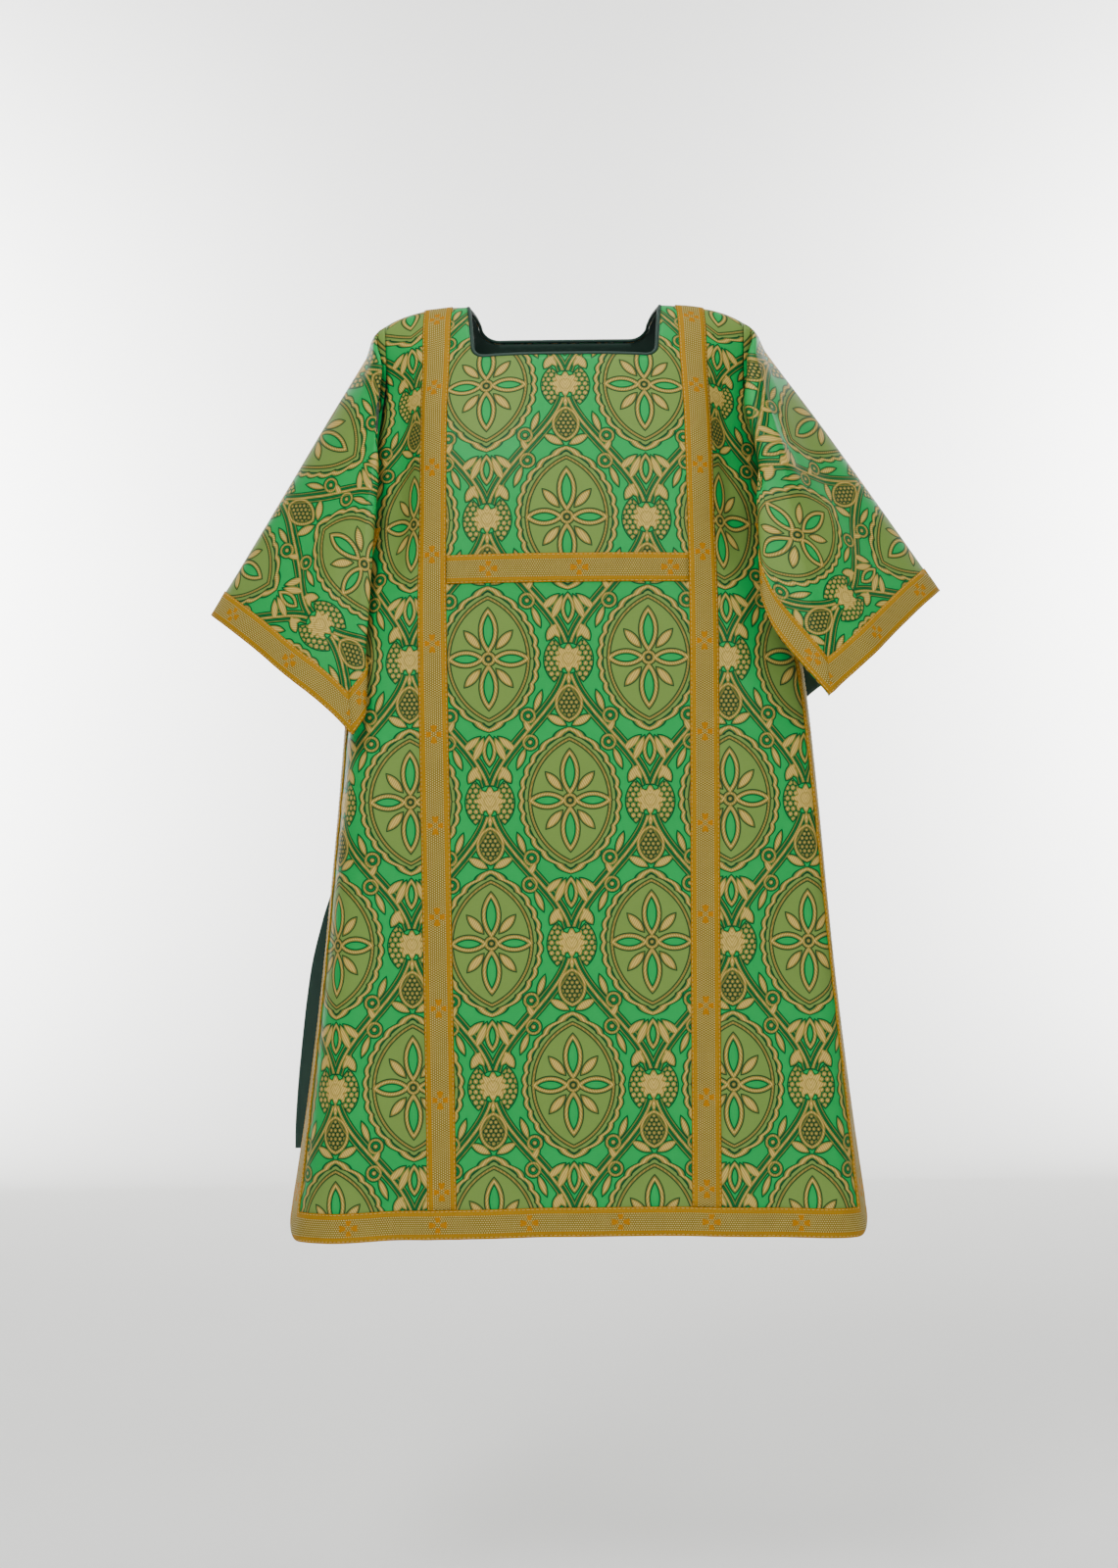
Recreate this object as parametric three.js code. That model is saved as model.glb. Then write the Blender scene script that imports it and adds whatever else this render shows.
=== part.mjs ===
// A Roman tunicle as it is worn: a front and a back panel joined at the shoulders, open sides,
// two open sleeves draped over the arms, woven galloon on every free edge, two galloon stripes
// with a crossbar on each panel, a piped square neck and a pair of ribbon ties inside the sides.
//
// Millimetres, +Z up, the front faces -Y, +X is the wearer's left. The origin is the middle of
// the shoulder line, where the wearer carries the garment. Each cloth piece is laid out in its
// flat cut and carried from there to the worn form; a wall is that form moved out both ways.
import * as THREE from 'three';

// ---------------------------------------------------------------- driving sizes
const WALL = 2.4;              // brocade, interlining and lining together
const GALLOON = 32;            // width of the woven galloon
const GALLOON_WALL = 1.0;
const SEAM = 0.4;              // distance between two pieces at a seam
const SHOULDER_SEAM = 1.6;     // the same at the shoulder, where both walls tilt apart
const SLEEVE_SEAM = 1.8;       // the same round the armhole
const LIFT = 0.3;              // distance between a panel and what is sewn on it
const BAR_DOWN = 352;          // top of the crossbar, down the centre line from the shoulder
const HEM_ROUND = 36;          // radius of a panel's lower corner
const SLEEVE_LENGTH = 392;
const SLEEVE_HALF = 260;       // cut width of a sleeve from its ridge to an underarm edge
const SLEEVE_BOW = 0.45;       // how early a sleeve's folds swing out from the shoulder point
const SEAM_EASE = 45;          // stretch of sleeve that still follows the panel past the seam
const PIPING_RADIUS = 2.1;
const PIPING_LIFT = 0.8;       // from the neck edge to the piping, round its corners too
const TIE_WIDTH = 32;
const TIE_WALL = 1.2;
const TIE_LIFT = 1.9;          // the flat ribbon spans the curled edge that it is sewn to

// The neck is nearly square, with rounded lower corners; the back is cut shallower.
const NECK = {
  front: { top: 113, foot: 106, depth: 117, round: 16 },
  back: { top: 113, foot: 100, depth: 72, round: 24 },
};

// Rows down a panel's centre line. down, fore: where the row lies. half: the cut's half width.
// bow: turn of the whole row at its edge; curl: extra turn of the last stretch; zone: length of
// that stretch, zoneRight on the wearer's right. droop: how much lower the edge lies, and late:
// how late in the row it sets in. stripe: middle of a stripe from the centre line. Turns are in
// degrees.
const FRONT_ROWS = [
  { down: 0, fore: 0, half: 205, bow: 0, curl: 0, zone: 60, zoneRight: 60, droop: 21, late: 6, stripe: 144 },
  { down: 7, fore: 30, half: 206, bow: 12, curl: 0, zone: 60, zoneRight: 60, droop: 22, late: 5, stripe: 144 },
  { down: 25, fore: 56, half: 208, bow: 25, curl: 0, zone: 60, zoneRight: 60, droop: 24, late: 4, stripe: 145 },
  { down: 69, fore: 86, half: 214, bow: 39, curl: 0, zone: 60, zoneRight: 60, droop: 24, late: 3, stripe: 146 },
  { down: 115, fore: 107, half: 224, bow: 48, curl: 0, zone: 60, zoneRight: 60, droop: 18, late: 3, stripe: 148 },
  { down: 175, fore: 125, half: 239, bow: 57, curl: 0, zone: 60, zoneRight: 60, droop: 12, late: 3, stripe: 149 },
  { down: 270, fore: 139, half: 262, bow: 64, curl: 0, zone: 60, zoneRight: 64, droop: 5, late: 2, stripe: 150 },
  { down: 380, fore: 144, half: 284, bow: 42, curl: 40, zone: 46, zoneRight: 80, droop: 0, late: 2, stripe: 150 },
  { down: 491, fore: 146, half: 298, bow: 28, curl: 56, zone: 52, zoneRight: 96, droop: 0, late: 2, stripe: 149 },
  { down: 750, fore: 149, half: 324, bow: 24, curl: 60, zone: 59, zoneRight: 94, droop: 4, late: 2, stripe: 147 },
  { down: 900, fore: 151, half: 340, bow: 24, curl: 56, zone: 61, zoneRight: 92, droop: 8, late: 2, stripe: 146 },
  { down: 1047, fore: 152, half: 356, bow: 24, curl: 44, zone: 68, zoneRight: 96, droop: 13, late: 2, stripe: 145 },
];
const BACK_ROWS = [
  { down: 0, fore: 0, half: 205, bow: 0, curl: 0, zone: 60, zoneRight: 60, droop: 21, late: 6, stripe: 144 },
  { down: 8, fore: 32, half: 206, bow: 13, curl: 0, zone: 60, zoneRight: 60, droop: 22, late: 5, stripe: 144 },
  { down: 30, fore: 62, half: 208, bow: 26, curl: 0, zone: 60, zoneRight: 60, droop: 23, late: 4, stripe: 145 },
  { down: 72, fore: 88, half: 214, bow: 39, curl: 0, zone: 60, zoneRight: 60, droop: 22, late: 3, stripe: 146 },
  { down: 120, fore: 105, half: 224, bow: 47, curl: 0, zone: 60, zoneRight: 60, droop: 17, late: 3, stripe: 148 },
  { down: 180, fore: 117, half: 239, bow: 54, curl: 0, zone: 60, zoneRight: 60, droop: 11, late: 3, stripe: 149 },
  { down: 272, fore: 124, half: 260, bow: 59, curl: 0, zone: 60, zoneRight: 60, droop: 5, late: 2, stripe: 150 },
  { down: 380, fore: 125, half: 276, bow: 44, curl: 28, zone: 66, zoneRight: 80, droop: 0, late: 2, stripe: 150 },
  { down: 491, fore: 124, half: 290, bow: 34, curl: 46, zone: 70, zoneRight: 88, droop: 0, late: 2, stripe: 149 },
  { down: 750, fore: 124, half: 318, bow: 28, curl: 52, zone: 70, zoneRight: 92, droop: 3, late: 2, stripe: 147 },
  { down: 900, fore: 127, half: 337, bow: 27, curl: 50, zone: 68, zoneRight: 88, droop: 6, late: 2, stripe: 146 },
  { down: 1040, fore: 131, half: 353, bow: 26, curl: 44, zone: 66, zoneRight: 90, droop: 10, late: 2, stripe: 145 },
];

// Soft flutes that open towards the hem. at: place across the cut; from: where it starts down the
// panel; wide: its half width; swell: how far it stands out at the hem.
const FRONT_FLUTES = [
  { at: -262, from: 520, wide: 34, swell: 5.5 },
  { at: -205, from: 640, wide: 26, swell: -3.5 },
  { at: -70, from: 760, wide: 48, swell: 2.5 },
  { at: 92, from: 700, wide: 42, swell: -2.5 },
  { at: 214, from: 600, wide: 30, swell: -4 },
  { at: 272, from: 480, wide: 32, swell: 4.5 },
];
const BACK_FLUTES = [
  { at: -245, from: 500, wide: 36, swell: 7 },
  { at: -150, from: 640, wide: 38, swell: -5 },
  { at: -30, from: 560, wide: 52, swell: 6 },
  { at: 105, from: 680, wide: 36, swell: -4.5 },
  { at: 232, from: 540, wide: 34, swell: 6 },
];

// Lines of a sleeve's free edge, from its front seam foot round the cuff to its back one. along,
// across: the place in the flat cut, across below 0 in front. out, fore, down: the same place as
// worn, measured from the shoulder point. Between two rows the cloth bends softly.
const RIGHT_SLEEVE = [
  { line: 'front seam foot', along: 0, across: -260, out: 23, fore: 57, down: 245 },
  { line: 'front pleat, inner', along: 80, across: -260, out: 44, fore: 46, down: 302 },
  { line: 'front pleat, outer', along: 170, across: -260, out: 84, fore: 48, down: 368 },
  { line: 'front return', along: 262, across: -260, out: 64, fore: 94, down: 401 },
  { line: 'front fold', along: 348, across: -260, out: 20, fore: 141, down: 438 },
  { line: 'front tip', along: 392, across: -260, out: 33, fore: 150, down: 474 },
  { line: 'front cuff', along: 392, across: -130, out: 126, fore: 98, down: 392 },
  { line: 'ridge', along: 392, across: 0, out: 204, fore: 0, down: 332 },
  { line: 'back cuff', along: 392, across: 130, out: 130, fore: -86, down: 384 },
  { line: 'back tip', along: 392, across: 260, out: 52, fore: -158, down: 452 },
  { line: 'back fold', along: 340, across: 260, out: 32, fore: -142, down: 415 },
  { line: 'back return', along: 255, across: 260, out: 66, fore: -98, down: 384 },
  { line: 'back pleat, outer', along: 165, across: 260, out: 86, fore: -30, down: 344 },
  { line: 'back pleat, inner', along: 80, across: 260, out: 47, fore: -20, down: 298 },
  { line: 'back seam foot', along: 0, across: 260, out: 24, fore: -54, down: 245 },
];
const LEFT_SLEEVE = [
  { line: 'front seam foot', along: 0, across: -260, out: 23, fore: 57, down: 245 },
  { line: 'front pleat, inner', along: 55, across: -260, out: 42, fore: 46, down: 284 },
  { line: 'front pleat, outer', along: 118, across: -260, out: 82, fore: 52, down: 314 },
  { line: 'front return', along: 178, across: -260, out: 60, fore: 106, down: 310 },
  { line: 'front fold', along: 240, across: -260, out: 11, fore: 160, down: 308 },
  { line: 'front edge', along: 305, across: -260, out: 16, fore: 190, down: 362 },
  { line: 'front tip', along: 392, across: -260, out: 75, fore: 205, down: 438 },
  { line: 'front cuff', along: 392, across: -130, out: 152, fore: 128, down: 371 },
  { line: 'ridge', along: 392, across: 0, out: 220, fore: 18, down: 315 },
  { line: 'back cuff', along: 392, across: 130, out: 158, fore: -78, down: 374 },
  { line: 'back tip', along: 392, across: 260, out: 80, fore: -152, down: 432 },
  { line: 'back fold', along: 340, across: 260, out: 44, fore: -140, down: 398 },
  { line: 'back return', along: 255, across: 260, out: 70, fore: -98, down: 372 },
  { line: 'back pleat, outer', along: 165, across: 260, out: 88, fore: -36, down: 338 },
  { line: 'back pleat, inner', along: 80, across: 260, out: 47, fore: -20, down: 296 },
  { line: 'back seam foot', along: 0, across: 260, out: 24, fore: -54, down: 245 },
];

// A tie hangs from the lining inside a side edge. Rows below its sewn end: down and fore, and how
// far out its middle hangs.
const TIE_SEWN_AT = 560;
const TIE_SEWN_LENGTH = 24;
const RIGHT_TIE = [
  { down: 655, out: 252, fore: 47 },
  { down: 700, out: 266, fore: 42 },
  { down: 760, out: 281, fore: 40 },
  { down: 860, out: 294, fore: 40 },
  { down: 930, out: 300, fore: 41 },
  { down: 962, out: 301, fore: 41 },
];
const LEFT_TIE = [
  { down: 655, out: 254, fore: 50 },
  { down: 700, out: 258, fore: 46 },
  { down: 760, out: 262, fore: 43 },
  { down: 860, out: 266, fore: 42 },
  { down: 940, out: 268, fore: 43 },
  { down: 975, out: 268, fore: 43 },
];

// ---------------------------------------------------------------- small maths
const radians = THREE.MathUtils.degToRad;
const clamp01 = (value) => Math.min(1, Math.max(0, value));
const ease = (value) => clamp01(value) ** 2 * (3 - 2 * clamp01(value));
const mix = (from, to, share) => from + (to - from) * share;

// A smooth curve through one column of a table, read at any key.
function column(rows, keys, name) {
  const last = rows.length - 1;
  const slope = (i) => {
    const before = Math.max(0, i - 1);
    const after = Math.min(last, i + 1);
    return (rows[after][name] - rows[before][name]) / (keys[after] - keys[before]);
  };
  return (key) => {
    let i = 0;
    while (i < last - 1 && key > keys[i + 1]) i += 1;
    const span = keys[i + 1] - keys[i];
    const t = (key - keys[i]) / span;
    const rise = rows[i + 1][name] - rows[i][name];
    const left = slope(i) * span - rise;
    const right = rise - slope(i + 1) * span;
    return rows[i][name] + rise * t + t * (1 - t) * (left * (1 - t) + right * t);
  };
}

// ---------------------------------------------------------------- the worn form of a panel
// side is -1 for the front, which faces -Y, and 1 for the back.
function panelForm(rows, flutes, side) {
  const keys = [0];
  for (let i = 1; i < rows.length; i += 1) {
    const step = Math.hypot(rows[i].down - rows[i - 1].down, rows[i].fore - rows[i - 1].fore);
    keys.push(keys[i - 1] + step);
  }
  const names = Object.keys(rows[0]);
  const read = Object.fromEntries(names.map((name) => [name, column(rows, keys, name)]));
  const length = keys[keys.length - 1];

  const turnAt = (row, across, right) => {
    const zone = right ? row.zoneRight : row.zone;
    const share = across / row.half;
    const curl = ease((across - row.half + zone) / (zone * 0.75));
    return radians(row.bow * share ** 2.2 + row.curl * curl);
  };

  // The place of a point of the flat cut: across it, and down its centre line.
  function place(across, down) {
    const row = Object.fromEntries(names.map((name) => [name, read[name](down)]));
    const reach = Math.abs(across);
    const steps = 24;
    let x = 0;
    let back = 0;
    for (let i = 0; i < steps; i += 1) {
      const turn = turnAt(row, ((i + 0.5) / steps) * reach, across < 0);
      x += (Math.cos(turn) * reach) / steps;
      back += (Math.sin(turn) * reach) / steps;
    }
    let swell = 0;
    for (const flute of flutes) {
      const open = clamp01((down - flute.from) / (length - flute.from));
      swell += flute.swell * open * Math.exp(-(((across - flute.at) / flute.wide) ** 2));
    }
    const y = row.fore - back + swell;
    const z = -row.down - row.droop * (reach / row.half) ** row.late;
    return new THREE.Vector3(Math.sign(across) * x, side * y, z);
  }

  // The side edge as a curve of its own length, for the sleeve that is sewn to it.
  function edge(sign) {
    const steps = 60;
    const armhole = 330;
    const downs = [];
    const lengths = [0];
    for (let i = 0; i <= steps; i += 1) {
      downs.push((armhole * i) / steps);
      if (i > 0) {
        const from = place(sign * read.half(downs[i - 1]), downs[i - 1]);
        const to = place(sign * read.half(downs[i]), downs[i]);
        lengths.push(lengths[i - 1] + from.distanceTo(to));
      }
    }
    return (distance) => {
      let i = 0;
      while (i < steps - 1 && distance > lengths[i + 1]) i += 1;
      const share = (distance - lengths[i]) / (lengths[i + 1] - lengths[i]);
      return mix(downs[i], downs[i + 1], share);
    };
  }
  return { place, edge, half: read.half, stripe: read.stripe, length, side };
}

const front = panelForm(FRONT_ROWS, FRONT_FLUTES, -1);
const back = panelForm(BACK_ROWS, BACK_FLUTES, 1);

// ---------------------------------------------------------------- the worn form of a sleeve
// sign is -1 for the wearer's right. A sleeve fans out from the shoulder point: each straight
// line of the cut from that point to the free edge bends a little and keeps its length nearly.
function sleeveForm(rows, sign) {
  const spokes = rows.map((row) => {
    const reach = Math.hypot(row.along, row.across);
    return { out: row.out / reach, fore: row.fore / reach, down: row.down / reach };
  });
  const keys = rows.map((row) => Math.atan2(row.across, row.along));
  const out = column(spokes, keys, 'out');
  const fore = column(spokes, keys, 'fore');
  const down = column(spokes, keys, 'down');
  const sides = [front, back].map((panel) => ({ panel, downAt: panel.edge(sign) }));
  const shoulder = front.place(sign * front.half(0), 0);

  // A point beside the seam, level with the panel's edge there and running on from it.
  function besideSeam(along, across) {
    const { panel, downAt } = across < 0 ? sides[0] : sides[1];
    const at = downAt(Math.max(Math.abs(across), 0.2));
    const half = panel.half(at);
    const start = panel.place(sign * (half + SLEEVE_SEAM), at);
    const heading = start.clone().sub(panel.place(sign * (half - 3), at)).normalize();
    return start.addScaledVector(heading, along);
  }

  function place(along, across) {
    const reach = Math.hypot(along, across);
    const turn = Math.atan2(across, along);
    const sine = Math.abs(Math.sin(turn));
    const toCuff = SLEEVE_LENGTH / Math.max(Math.cos(turn), 1e-6);
    const toUnderarm = SLEEVE_HALF / Math.max(sine, 1e-6);
    const rim = Math.min(toCuff, toUnderarm);
    const swing = rim * (reach / rim) ** SLEEVE_BOW;
    const spoke = new THREE.Vector3(sign * out(turn) * reach, -fore(turn) * swing, -down(turn) * reach);
    const free = shoulder.clone().add(spoke);
    return free.lerp(besideSeam(along, across), 1 - ease(along / SEAM_EASE));
  }
  return { place };
}

// ---------------------------------------------------------------- sheets and walls
// A sheet holds points of the worn form, and triangles that name the zone of the cut they are in.
class Sheet {
  constructor(place) {
    this.place = place;
    this.points = [];
    this.triangles = [];
  }

  point(across, down) {
    this.points.push(this.place(across, down));
    return this.points.length - 1;
  }

  triangle(a, b, c, zone) {
    this.triangles.push({ corners: [a, b, c], zone });
  }

  quad(a, b, c, d, zone) {
    this.triangle(a, b, c, zone);
    this.triangle(a, c, d, zone);
  }

  normals() {
    const sums = this.points.map(() => new THREE.Vector3());
    for (const { corners } of this.triangles) {
      const [a, b, c] = corners.map((i) => this.points[i]);
      const face = b.clone().sub(a).cross(c.clone().sub(a));
      corners.forEach((i) => sums[i].add(face));
    }
    return sums.map((sum) => sum.normalize());
  }
}

// Closes the triangles of some zones into a wall between two distances from the sheet.
function wall(sheet, zones, low, high) {
  const chosen = sheet.triangles.filter((triangle) => !zones || zones.includes(triangle.zone));
  const normals = sheet.normals();
  const used = [...new Set(chosen.flatMap(({ corners }) => corners))];
  const place = new Map(used.map((corner, i) => [corner, i]));
  const positions = [];
  for (const level of [high, low]) {
    for (const i of used) {
      const point = sheet.points[i].clone().addScaledVector(normals[i], level);
      positions.push(point.x, point.y, point.z);
    }
  }
  const index = [];
  const rims = new Map();
  for (const { corners } of chosen) {
    const [a, b, c] = corners.map((corner) => place.get(corner));
    index.push(a, b, c, a + used.length, c + used.length, b + used.length);
    for (const [from, to] of [[a, b], [b, c], [c, a]]) {
      if (!rims.delete(`${to},${from}`)) rims.set(`${from},${to}`, [from, to]);
    }
  }
  for (const [from, to] of rims.values()) {
    index.push(from, from + used.length, to, to, from + used.length, to + used.length);
  }
  const geometry = new THREE.BufferGeometry();
  geometry.setAttribute('position', new THREE.Float32BufferAttribute(positions, 3));
  geometry.setIndex(index);
  geometry.computeVertexNormals();
  return geometry;
}

// ---------------------------------------------------------------- the cut of a panel
const bandInner = (panel, down) => panel.half(down) - GALLOON;

// Half width of the neck at a height above its base.
function neckHalf(neck, down) {
  const straight = neck.depth - neck.round;
  const half = mix(neck.top, neck.foot, clamp01(down / straight));
  const drop = Math.max(0, down - straight);
  return half - neck.round + Math.sqrt(Math.max(0, neck.round ** 2 - drop ** 2));
}

function spread(from, to, count) {
  return Array.from({ length: count }, (_, i) => mix(from, to, i / count));
}

// Rows of a panel's grid, down its centre line. The seam foot, the bar and the hem galloon start
// and end on a row.
function panelRows(panel, neck, foot) {
  const straight = neck.depth - neck.round;
  const bandTop = panel.length - GALLOON;
  return [
    ...spread(SHOULDER_SEAM / 2, straight, 4), straight, straight + neck.round * 0.7, neck.depth,
    ...spread(neck.depth + 40, foot, 3), foot, foot + SEAM, mix(foot, BAR_DOWN, 0.5),
    BAR_DOWN, BAR_DOWN + GALLOON,
    ...spread(BAR_DOWN + GALLOON + 55, bandTop - 55, 8), bandTop - 55, bandTop - SEAM, bandTop,
  ];
}

function panelSheet(panel, neck, foot) {
  const sheet = new Sheet(panel.place);
  const rows = panelRows(panel, neck, foot);
  const neckColumn = 7;

  // Half a row, from the side edge inwards. Its last column is the centre line.
  const halfRow = (down) => {
    const neckEdge = neckHalf(neck, Math.min(down, neck.depth));
    const inner = bandInner(panel, down);
    const stripeOut = panel.stripe(down) + GALLOON / 2;
    const stripeIn = stripeOut - GALLOON;
    return [
      panel.half(down), inner, mix(inner, stripeOut, 0.25), mix(inner, stripeOut, 0.55),
      stripeOut, stripeIn, stripeIn - SEAM, neckEdge, neckEdge * 0.5, 0,
    ];
  };
  const zoneOf = (column, top, bottom) => {
    if (column === 0 && top >= foot + SEAM - 0.01) return 'border';
    if (column === 4 && bottom <= panel.length - GALLOON - SEAM / 2) return 'stripe';
    if (column > 5 && top >= BAR_DOWN - 0.01 && bottom <= BAR_DOWN + GALLOON + 0.01) return 'bar';
    return 'plain';
  };

  const lastColumn = 9;
  const grid = rows.map((down) => {
    const open = down < neck.depth - 0.01;
    const half = halfRow(down);
    const right = half.map((x, i) => (open && i > neckColumn ? -1 : sheet.point(-x, down)));
    const left = half.map((x, i) => {
      if (i === lastColumn) return right[i];
      return open && i > neckColumn ? -1 : sheet.point(x, down);
    });
    return { right, left, half };
  });

  const add = (a, b, c, d, mirrored, zone) => {
    if ([a, b, c, d].includes(-1)) return;
    const turned = mirrored === (panel.side < 0);
    if (turned) sheet.quad(a, b, c, d, zone);
    else sheet.quad(a, d, c, b, zone);
  };
  for (let r = 0; r < rows.length - 1; r += 1) {
    for (let c = 0; c < lastColumn; c += 1) {
      const zone = zoneOf(c, rows[r], rows[r + 1]);
      for (const name of ['right', 'left']) {
        const upper = grid[r][name];
        const lower = grid[r + 1][name];
        const suffix = zone === 'stripe' ? `${name} stripe` : zone;
        add(upper[c], lower[c], lower[c + 1], upper[c + 1], name === 'right', suffix);
      }
    }
  }
  hemBand(sheet, panel, grid[rows.length - 1], add);
  return { sheet, rows, grid, neckColumn };
}

// The strip under the last row, with rounded lower corners round the galloon's mitre.
function hemBand(sheet, panel, top, add) {
  const cornerSteps = 4;
  const hem = panel.length;
  const corner = Math.min(HEM_ROUND, GALLOON + 10);
  for (const [name, sign] of [['right', -1], ['left', 1]]) {
    const upper = top[name];
    const edge = top.half[0];
    const below = upper.map((point, i) => {
      if (i === 0) return point;
      const across = i === 1 ? edge - corner : top.half[i];
      return sheet.point(sign * across, hem);
    });
    if (name === 'left') below[below.length - 1] = top.centre;
    else top.centre = below[below.length - 1];
    for (let c = 1; c < upper.length - 1; c += 1) {
      add(upper[c], below[c], below[c + 1], upper[c + 1], name === 'right', 'border');
    }
    const rim = [upper[0]];
    for (let i = 1; i < cornerSteps; i += 1) {
      const turn = (Math.PI / 2) * (i / cornerSteps);
      const flare = (i / cornerSteps) * (panel.half(hem) - edge);
      const across = edge - corner + corner * Math.cos(turn) + flare * Math.cos(turn);
      rim.push(sheet.point(sign * across, hem - GALLOON + GALLOON * Math.sin(turn)));
    }
    rim.push(below[1]);
    for (let i = 0; i < cornerSteps; i += 1) {
      const corners = [upper[1], rim[i], rim[i + 1]];
      const turned = (name === 'right') === (panel.side < 0);
      if (!turned) corners.reverse();
      sheet.triangle(...corners, 'border');
    }
  }
}

// ---------------------------------------------------------------- the cut of a sleeve
function sleeveSheet(form, sign) {
  const sheet = new Sheet(form.place);
  const innerLength = SLEEVE_LENGTH - GALLOON;
  const innerHalf = SLEEVE_HALF - GALLOON;
  const cuffSteps = 7;
  const sideShares = [0, 0.035, 0.09, 0.17, 0.26, 0.35, 0.44, 0.53, 0.62, 0.71, 0.79, 0.86, 0.93];
  const rings = [0.14, 0.28, 0.42, 0.56, 0.7, 0.84];
  const throat = 26;

  // Spokes from the front seam foot round the cuff to the back one, each with its place on the
  // outer edge and on the inner edge of the galloon.
  const spokes = [];
  const addSpoke = (share, onCuff, sideSign) => {
    const outer = onCuff
      ? [SLEEVE_LENGTH, sideSign * SLEEVE_HALF * share]
      : [SLEEVE_LENGTH * share, sideSign * SLEEVE_HALF];
    const inner = onCuff
      ? [innerLength, sideSign * innerHalf * share]
      : [innerLength * share, sideSign * innerHalf];
    const turn = Math.atan2(Math.abs(outer[1]), outer[0]) / (Math.PI / 2);
    spokes.push({ outer, inner, start: [0, sideSign * throat * turn] });
  };
  sideShares.forEach((share) => addSpoke(share, false, -1));
  for (let i = cuffSteps; i > 0; i -= 1) addSpoke(i / cuffSteps, true, -1);
  for (let i = 0; i <= cuffSteps; i += 1) addSpoke(i / cuffSteps, true, 1);
  [...sideShares].reverse().forEach((share) => addSpoke(share, false, 1));

  const lines = spokes.map(({ start, inner, outer }) => {
    const points = [sheet.point(...start)];
    for (const ring of rings) {
      points.push(sheet.point(mix(start[0], inner[0], ring), mix(start[1], inner[1], ring)));
    }
    points.push(sheet.point(...inner), sheet.point(...outer));
    return points;
  });
  for (let s = 0; s < lines.length - 1; s += 1) {
    for (let r = 0; r < lines[s].length - 1; r += 1) {
      const zone = r === lines[s].length - 2 ? 'border' : 'plain';
      const corners = [lines[s][r], lines[s][r + 1], lines[s + 1][r + 1], lines[s + 1][r]];
      if (sign < 0) corners.reverse();
      sheet.quad(...corners, zone);
    }
  }
  return sheet;
}

// ---------------------------------------------------------------- pieces
const cloth = (color, roughness) => new THREE.MeshStandardMaterial({ color, roughness, metalness: 0 });
const BROCADE = cloth(0x4fae5e, 0.45);
const BRAID = cloth(0xc29a4a, 0.55);
const LINING = cloth(0x155040, 0.7);

const garment = new THREE.Group();
function addPiece(name, geometry, material) {
  const mesh = new THREE.Mesh(geometry, material);
  mesh.name = name;
  garment.add(mesh);
}

const GALLOON_LOW = WALL / 2 + LIFT;
const GALLOON_HIGH = GALLOON_LOW + GALLOON_WALL;

function addPanel(name, panel, neck) {
  const foot = panel.edge(-1)(SLEEVE_HALF);
  const cut = panelSheet(panel, neck, foot);
  addPiece(`${name}_panel`, wall(cut.sheet, null, -WALL / 2, WALL / 2), BROCADE);
  const trims = { right_stripe: 'right stripe', left_stripe: 'left stripe', bar: 'bar', border: 'border' };
  for (const [trim, zone] of Object.entries(trims)) {
    addPiece(`${name}_${trim}`, wall(cut.sheet, [zone], GALLOON_LOW, GALLOON_HIGH), BRAID);
  }
  return cut;
}

function addSleeve(name, rows, sign) {
  const sheet = sleeveSheet(sleeveForm(rows, sign), sign);
  addPiece(`${name}_sleeve`, wall(sheet, null, -WALL / 2, WALL / 2), BROCADE);
  addPiece(`${name}_sleeve_border`, wall(sheet, ['border'], GALLOON_LOW, GALLOON_HIGH), BRAID);
}

// The piping is one round loop just inside the neck edges of both panels.
function addPiping(cuts) {
  const rim = [];
  const walk = ({ sheet, rows, grid, neckColumn }, neck, forwards) => {
    const normals = sheet.normals();
    const points = [];
    const base = rows.findIndex((down) => down > neck.depth - 0.01);
    for (let r = 0; r <= base; r += 1) points.push(grid[r].right[neckColumn]);
    points.push(grid[base].right[neckColumn + 1], grid[base].right[neckColumn + 2]);
    points.push(grid[base].left[neckColumn + 1]);
    for (let r = base; r >= 0; r -= 1) points.push(grid[r].left[neckColumn]);
    if (!forwards) points.reverse();
    points.forEach((i) => rim.push({ at: sheet.points[i], out: normals[i] }));
  };
  walk(cuts.front, NECK.front, true);
  walk(cuts.back, NECK.back, false);

  const sides = 6;
  const count = rim.length;
  const positions = [];
  rim.forEach(({ at, out }, i) => {
    const before = rim[(i + count - 1) % count].at;
    const after = rim[(i + 1) % count].at;
    const along = after.clone().sub(before).normalize();
    const inwards = out.clone().cross(along).normalize();
    const into = at.clone().addScaledVector(inwards, PIPING_RADIUS + PIPING_LIFT);
    for (let s = 0; s < sides; s += 1) {
      const turn = (2 * Math.PI * s) / sides;
      const point = into.clone()
        .addScaledVector(inwards, PIPING_RADIUS * Math.cos(turn))
        .addScaledVector(out, PIPING_RADIUS * Math.sin(turn));
      positions.push(point.x, point.y, point.z);
    }
  });
  const index = [];
  for (let i = 0; i < count; i += 1) {
    for (let s = 0; s < sides; s += 1) {
      const [a, b] = [i * sides + s, i * sides + ((s + 1) % sides)];
      const [c, d] = [a, b].map((corner) => (corner + sides) % (count * sides));
      index.push(a, b, c, b, d, c);
    }
  }
  const geometry = new THREE.BufferGeometry();
  geometry.setAttribute('position', new THREE.Float32BufferAttribute(positions, 3));
  geometry.setIndex(index);
  geometry.computeVertexNormals();
  addPiece('neck_piping', geometry, LINING);
}

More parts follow.
